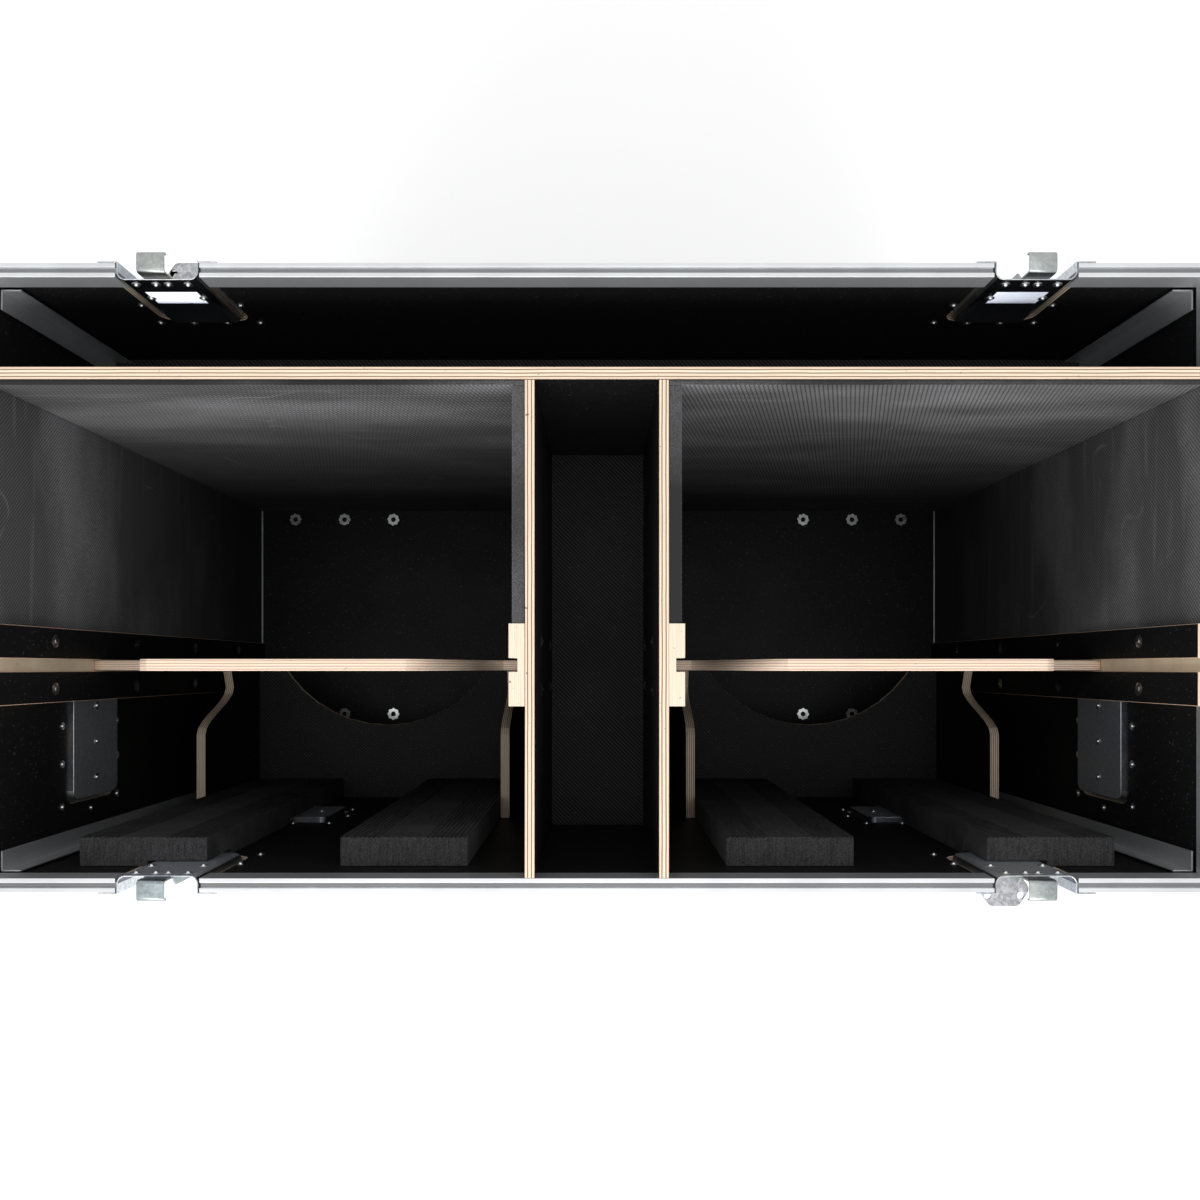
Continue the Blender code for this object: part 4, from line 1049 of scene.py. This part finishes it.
tee_nut_x = (352 * mm, 436 * mm, 520 * mm)
tee_nut_y = (169 * mm, -165 * mm)
nut_spots = [(Vector((side * x, y, floor_top)), (0, 0, 1))
             for side in (-1, 1) for x in tee_nut_x for y in tee_nut_y]
nut_sizes = {"Prong reach": 11 * mm, "Waist radius": 8.6 * mm, "Bore radius": 4.2 * mm,
             "Rounding": 2.2 * mm, "Sheet": 1.3 * mm, "Seed": 8, "Material": rivet_metal}
tee_nuts = grow(spots_piece("tee_nuts", nut_spots), tee_nut_tree(), nut_sizes)
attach(tee_nuts, "case")
print("T-nuts:", len(nut_spots))

# %% [markdown]
# Screws hold the wall rails, and the dividers' rails from the centre bay. Each is a dome on a cup
# washer. Two slim boxes are taken from the dome once, before the screw is repeated, to cut a cross
# into it. The cut doesn't show: the dome stays whole, and small parts of the boxes stay inside it.


# %% Screws
def screw_tree():
    inputs = {"Head radius": "Float", "Head height": "Float", "Washer radius": "Float",
              "Seed": "Int", "Material": "Material"}
    tree, start = new_tree("screws", inputs)
    slim = maths(tree, "MULTIPLY", start["Head radius"], 0.28)
    long = maths(tree, "MULTIPLY", start["Head radius"], 1.2)
    bars = []
    for x, y in ((long, slim), (slim, long)):
        size = vector(tree, X=x, Y=y, Z=start["Head height"])
        bar = add(tree, "GeometryNodeMeshCube", {"Size": size}).outputs[0]
        bars.append(move(tree, bar, start["Head height"]))
    crossed = add(tree, "GeometryNodeMeshBoolean",
                  {"Mesh 1": squashed_ball(tree, start, segments=12, rings=8),
                   "Mesh 2": join(tree, *bars)}, operation="DIFFERENCE").outputs[0]
    washer = add(tree, "GeometryNodeMeshCone",
                 {"Vertices": 16, "Radius Bottom": start["Washer radius"],
                  "Radius Top": start["Head radius"],
                  "Depth": maths(tree, "MULTIPLY", start["Head height"], 0.5)}).outputs[0]
    end_tree(tree, put_on_spots(tree, start, join(tree, crossed, washer)), start["Material"])
    return tree


screw_sizes = {"Head radius": 4.2 * mm, "Head height": 2.2 * mm, "Washer radius": 7 * mm,
               "Seed": 4, "Material": rivet_metal}
rail_low, rail_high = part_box("right_wall_rail")
rail_face = rail_low.x
divider_face = abs(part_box("right_divider")[0].x)
rail_drops = (105 * mm, 290 * mm, 470 * mm, 640 * mm)
screw_inset = 14.3 * mm
screw_spots = []
for side in (-1, 1):
    for drop in rail_drops:
        for y in (rail_low.y + screw_inset, rail_high.y - screw_inset):
            screw_spots.append((Vector((side * rail_face, y, rim_top - drop)), (-side, 0, 0)))
            screw_spots.append((Vector((side * divider_face, y, rim_top - drop)), (-side, 0, 0)))
screws = grow(spots_piece("rail_screws", screw_spots), screw_tree(), screw_sizes)
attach(screws, "case")
print("screws:", len(screw_spots), "faces", len(screws.data.polygons))

# %% [markdown]
# The foam is soft, so it isn't drawn as flat boards. Each lining is a thin sheet: a block cut into
# a grid of faces, whose open side is pushed in by up to a millimetre and a half by smooth noise,
# with its cut edges rounded. It is glued down, so the waves are slight and fade towards its edges.
# It stops about 2 mm short of the side wall, so that it clears the inner leg of the rim.


# %% Foam linings
sheet_rounding = 0.9 * mm


def foam_sheet(name, low, high, thin, face, finish, replaced, wave=1.1 * mm, cell=24 * mm):
    """A closed sheet between two corners. Its face on the given side of its thin axis waves."""
    low, high = Vector(low), Vector(high)
    bm = bmesh.new()
    bmesh.ops.create_cube(bm, size=1.0)
    for vert in bm.verts:
        for axis in range(3):
            vert.co[axis] = low[axis] if vert.co[axis] < 0 else high[axis]
    for axis in [axis for axis in range(3) if axis != thin]:
        cuts = int((high[axis] - low[axis]) / cell)
        for k in range(1, cuts):
            split(bm, axis, low.lerp(high, k / cuts)[axis])
    waving = high[thin] if face > 0 else low[thin]
    for vert in bm.verts:
        if abs(vert.co[thin] - waving) < merge_distance:
            hold = min([1.0] + [min(vert.co[a] - low[a], high[a] - vert.co[a]) / (3 * cell)
                                for a in range(3) if a != thin])
            push = noise.noise(vert.co * 7.0) + 0.5 * noise.noise(vert.co * 21.0)
            vert.co[thin] += face * wave * (push - 0.6) * hold
    piece = soften(new_piece(name, bm, [finish]), sheet_rounding)
    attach(piece, "case")
    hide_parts(replaced)
    return piece


side_thick = 10 * mm
rear_thick = 5 * mm
divider_thick = 12 * mm
for hand, side in (("left", -1), ("right", 1)):
    node = hand + "_lining"
    box_low, box_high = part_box(node)
    board = min(abs(box_low.x), abs(box_high.x))
    face_y = box_high.y - rear_thick
    low, high, front = box_low.z, box_high.z, box_low.y
    wall_back = leg_in_x - seat_gap
    spans = {
        "side": (side * (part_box("right_lining")[1].x - side_thick), side * wall_back, front, face_y),
        "rear": (side * board, side * wall_back, face_y + seat_gap, box_high.y),
        "divider": (side * board, side * (board + divider_thick), front, face_y),
    }
    for place, (x0, x1, y0, y1) in spans.items():
        thin = 1 if place == "rear" else 0
        face = -1 if place == "rear" else (-side if place == "side" else side)
        finish = front_foam if place == "rear" else side_foam
        foam_sheet(hand + "_" + place + "_sheet", (min(x0, x1), y0, low), (max(x0, x1), y1, high),
                   thin, face, finish, node)
print("six lining sheets")

# %% [markdown]
# The four strips on the front wall are thick foam, sawn on a profile cutter: the outer thirds of
# the inner face are toothed and the middle is plain. The outline of a strip is drawn with its
# teeth and pushed up to its full height, then the room for the dishes behind it is cut away.


# %% Foam strips
def toothed_outline(x0, x1, back, face, pitch=4.5 * mm, tooth=1.5 * mm, plain_share=0.36):
    """Outline of a strip from above. The teeth are on the face that looks into the case."""
    count = int((x1 - x0) / pitch)
    step = (x1 - x0) / count
    points = [(x0, back), (x1, back)]
    for k in range(count, 0, -1):
        right, left = x0 + step * k, x0 + step * (k - 1)
        middle = abs((k - 0.5) / count - 0.5)
        if middle < plain_share / 2:
            points.append((right, face - tooth * 0.15))
        else:
            points += [(right, face), (left + step * 0.25, face - tooth)]
    points.append((x0, face))
    return points


def prism_mesh(outline, low, high):
    """An outline in plan pushed up from one height to another."""
    bm = bmesh.new()
    lower, upper = [[bm.verts.new((x, y, z)) for x, y in outline] for z in (low, high)]
    bm.faces.new(lower)
    bm.faces.new(upper)
    for i in range(len(outline)):
        j = (i + 1) % len(outline)
        bm.faces.new((lower[i], lower[j], upper[j], upper[i]))
    bmesh.ops.recalc_face_normals(bm, faces=bm.faces)
    return bm


def box_mesh(low, high):
    return prism_mesh([(low[0], low[1]), (high[0], low[1]), (high[0], high[1]), (low[0], high[1])],
                      low[2], high[2])


def carve(piece, low, high):
    """Takes a box away from the piece."""
    cutter = new_piece("room", box_mesh(low, high), [])
    boolean = piece.modifiers.new("room", "BOOLEAN")
    boolean.operation = "DIFFERENCE"
    boolean.solver = "EXACT"
    boolean.object = cutter
    settle(piece)
    bpy.data.objects.remove(cutter, do_unlink=True)


pocket_room = 1 * mm
latch_pan_half = 39 * mm
handle_pan_half = 62 * mm
strip_rounding = 0.4 * mm
for hand in ("left", "right"):
    for place in ("outer", "inner"):
        node = hand + "_" + place + "_strip"
        low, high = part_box(node)
        outline = toothed_outline(low.x, high.x, low.y, high.y)
        strip = new_piece(node + "_foam", prism_mesh(outline, low.z, high.z), [cut_foam])
        if place == "outer":
            for fitting, pan, depth in (("latch_dish", latch_pan_half, latch_pan_depth),
                                        ("handle_dish", handle_pan_half, handle_pan_depth)):
                dish = middle_of("front_" + hand + "_" + fitting)
                dish_low, dish_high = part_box("front_" + hand + "_" + fitting)
                carve(strip, (dish.x - pan - pocket_room, low.y - pocket_room, dish_low.z),
                      (dish.x + pan + pocket_room, front_out + depth + pocket_room, dish_high.z))
        soften(strip, strip_rounding, 1)
        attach(strip, "case")
        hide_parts(node)
print("four strips")

# %% [markdown]
# The grips keep their own shape: a rod with a sleeve. The sleeve is plastic and the rod is steel,
# told apart by the distance from the middle of the grip's own lower run.

# %% Grips
sleeve_rise = 6.5 * mm
sleeve_half = 40 * mm
sleeve_reach = 8 * mm
grip_rounding = 0.5 * mm
for spot in handle_places:
    node = spot + "_handle_grip"
    long_axis = 0 if spot in corner_spots else 1
    middle = middle_of(node)
    middle.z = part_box(node)[0].z + sleeve_rise

    def grip_rule(face, middle=middle, long_axis=long_axis):
        away = face.calc_center_median() - middle
        return 0 if abs(away[long_axis]) < sleeve_half and abs(away.z) < sleeve_reach else 1

    dress(node, "bail", [grip_plastic, zinc], grip_rule, grip_rounding)
print("six grips")

# %% [markdown]
# Where two walls meet inside, a light aluminium angle covers the joint. It is thin trim with an
# L-shaped section, so it is an outline of six points pushed up the corner.


# %% Inner corner angles
def corner_outline(side, end, leg=20 * mm, sheet=1.5 * mm):
    x = side * (leg_in_x - seat_gap)
    y = end * (-front_in - seat_gap - rim_leg - seat_gap)
    return [(x, y), (x - side * leg, y), (x - side * leg, y - end * sheet),
            (x - side * sheet, y - end * sheet), (x - side * sheet, y - end * leg), (x, y - end * leg)]


shelf_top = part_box("rear_shelf")[1].z
upright_metal = aluminium("upright_metal", 2)
trim_rounding = 0.3 * mm
for hand, side in (("left", -1), ("right", 1)):
    for place, end, foot in (("rear", 1, shelf_top), ("front", -1, floor_top)):
        bm = prism_mesh(corner_outline(side, end), foot + seat_gap, rim_low - seat_gap)
        angle = new_piece(place + "_" + hand + "_inner_angle", bm, [upright_metal])
        soften(angle, trim_rounding)
        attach(angle, "case")
print("inner angles up to", round((rim_low - floor_top) / mm), "mm")

# %% [markdown]
# A flat trim runs along the foot of each side lining, where a thing lowered into the bay would
# catch the foam.

# %% Trim at the foot of the linings
trim_height = 2.4 * mm
trim_width = 2 * mm
for hand, side in (("left", -1), ("right", 1)):
    low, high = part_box(hand + "_lining")
    face = max(abs(low.x), abs(high.x)) - side_thick - seat_gap
    x0, x1 = sorted((side * face, side * (face - trim_width)))
    foot = floor_top + seat_gap
    far_end = high.y - rear_thick - seat_gap
    bm = box_mesh((x0, low.y, foot), (x1, far_end, foot + trim_height))
    trim = soften(new_piece(hand + "_foot_trim", bm, [side_metal]), trim_rounding)
    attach(trim, "case")
print("two trims,", round((high.y - low.y) / mm), "mm long")

# %% [markdown]
# In the centre bay the screws of a divider's rail are hardly more than glints. A small bright tip
# in the middle of each head gives that glint. The tips use the rivet tree with other sizes.

# %% Screw tips
tip_sizes = {"Head radius": 1.7 * mm, "Head height": 2.6 * mm, "Collar radius": 2.4 * mm,
             "Collar height": 0.4 * mm, "Seed": 6, "Material": rivet_metal}
tip_spots = [(place, facing) for place, facing in screw_spots
             if abs(abs(place.x) - divider_face) < mm]
tips = grow(spots_piece("screw_tips", tip_spots), rivets, tip_sizes)
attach(tips, "case")
print("tips:", len(tip_spots))

# %% [markdown]
# A sleeve is moulded with ribs for the fingers. A rib is a short drum on the sleeve's own axis,
# and its spots run along the sleeve.


# %% Ribs on the sleeves
def rib_tree():
    inputs = {"Rib radius": "Float", "Rib width": "Float", "Seed": "Int", "Material": "Material"}
    tree, start = new_tree("ribs", inputs)
    drum = add(tree, "GeometryNodeMeshCylinder",
               {"Vertices": 24, "Radius": start["Rib radius"], "Depth": start["Rib width"]})
    end_tree(tree, put_on_spots(tree, start, drum.outputs[0]), start["Material"])
    return tree


ribs = rib_tree()
rib_step = 5 * mm
rib_count = 13
rib_width = 2 * mm
rib_proud = 0.5 * mm
for spot in handle_places:
    node = spot + "_handle_grip"
    low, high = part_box(node)
    axis = Vector((1, 0, 0)) if spot in corner_spots else Vector((0, 1, 0))
    sleeve_radius = min(high.x - low.x, high.y - low.y) / 2
    centre = middle_of(node)
    centre.z = low.z + sleeve_radius
    half_run = axis * (rib_count - 1) / 2 * rib_step
    spots = row(centre - half_run, centre + half_run, rib_count, tuple(axis))
    rib_sizes = {"Rib radius": sleeve_radius + rib_proud, "Rib width": rib_width, "Seed": 9,
                 "Material": grip_plastic}
    ring = grow(spots_piece(spot + "_ribs", spots), ribs, rib_sizes)
    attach(ring, nodes[node]["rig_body"])
print("ribs:", rib_count, "on each sleeve")

# %% [markdown]
# Each caster plate is bolted to the floor at its four corners. A hexagon head is a cylinder with
# six sides on a round washer.


# %% Caster bolts
def bolt_tree():
    inputs = {"Head radius": "Float", "Head height": "Float", "Washer radius": "Float",
              "Washer height": "Float", "Seed": "Int", "Material": "Material"}
    tree, start = new_tree("bolts", inputs)
    drums = []
    for sides, part, under in ((6, "Head", start["Washer height"]), (20, "Washer", 0.0)):
        height = start[part + " height"]
        drum = add(tree, "GeometryNodeMeshCylinder",
                   {"Vertices": sides, "Radius": start[part + " radius"], "Depth": height})
        lift = maths(tree, "ADD", maths(tree, "MULTIPLY", height, 0.5), under)
        drums.append(move(tree, drum.outputs[0], lift))
    end_tree(tree, put_on_spots(tree, start, join(tree, *drums)), start["Material"])
    return tree


plate_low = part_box("floor_panel")[0].z
bolt_inset = 41 * mm
caster_x = 478 * mm
caster_y = 209 * mm
bolt_spots = []
for x, y in [(side * caster_x, end * caster_y) for side in (-1, 1) for end in (-1, 1)]:
    for dx in (-bolt_inset, bolt_inset):
        for dy in (-bolt_inset, bolt_inset):
            bolt_spots.append((Vector((x + dx, y + dy, plate_low)), (0, 0, -1)))
bolt_sizes = {"Head radius": 6.5 * mm, "Head height": 4 * mm, "Washer radius": 8 * mm,
              "Washer height": 1.2 * mm, "Seed": 2, "Material": zinc}
bolts = grow(spots_piece("caster_bolts", bolt_spots), bolt_tree(), bolt_sizes)
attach(bolts, "case")
print("bolts:", len(bolt_spots))

# %% [markdown]
# The floor and the light. A pale floor that fades to white keeps the case's shadow. A broad softbox
# stands in front and reaches only the upper part of the linings, so they fade into the dark below.
# A soft light from straight above fills the top edges. The sky is plain white to rays that look at
# it straight, mirrored or through something, so the metal has something pale to mirror, and it is
# dimmer as a light. The floor's own glow is there only for such rays too: it turns the floor white
# and lights nothing.

# %% Floor, lights and background
def seen(tree, lights, looks):
    """The first strength for rays that carry light, the second for rays that look at the thing."""
    rays = add(tree, "ShaderNodeLightPath", {}).outputs
    mirrored = maths(tree, "MAXIMUM", rays["Is Glossy Ray"], rays["Is Transmission Ray"])
    looking = maths(tree, "MAXIMUM", rays["Is Camera Ray"], mirrored)
    return remap(tree, looking, lights, looks)


floor_size = 14.0
bm = bmesh.new()
bmesh.ops.create_grid(bm, x_segments=1, y_segments=1, size=floor_size / 2)
floor_finish, tree, shader = new_finish("studio_floor")
place, _ = object_place(tree)
speckled = mix(tree, grains(tree, place, 3.0, 3.0), (0.90, 0.90, 0.90, 1), (0.92, 0.92, 0.92, 1))
fill(tree, shader, {"Base Color": speckled, "Roughness": 0.9, "Emission Color": (1, 1, 1, 1),
                    "Emission Strength": seen(tree, 0.0, 0.34)})
studio_floor = new_piece("studio_floor", bm, [floor_finish])
studio_floor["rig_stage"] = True


def area_light(name, width, depth, energy, place, turn):
    data = bpy.data.lights.new(name, "AREA")
    data.shape = "RECTANGLE"
    data.size = width
    data.size_y = depth
    data.energy = energy
    light = bpy.data.objects.new(name, data)
    light.location = place
    light.rotation_euler = turn
    bpy.context.collection.objects.link(light)


softbox_place = Vector((-0.3, -2.6, 2.4))
aim = Vector((0, 0.1, 0.75)) - softbox_place
area_light("softbox", width=4.0, depth=1.7, energy=84, place=softbox_place,
           turn=aim.to_track_quat("-Z", "Y").to_euler())
area_light("overhead", width=3.4, depth=1.6, energy=16, place=(0, 0, 4.4), turn=(0, 0, 0))

world = bpy.data.worlds.new("plain_sky")
world.use_nodes = True
sky = world.node_tree
fill(sky, sky.nodes["Background"], {"Color": (1, 1, 1, 1), "Strength": seen(sky, 0.7, 1.0)})
bpy.context.scene.world = world
bpy.context.scene.view_settings.view_transform = "Standard"
print("a softbox, an overhead light and a plain sky")

# %% [markdown]
# Last, the box of the finished model is worked out.

# %% Sizes and finish
low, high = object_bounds()
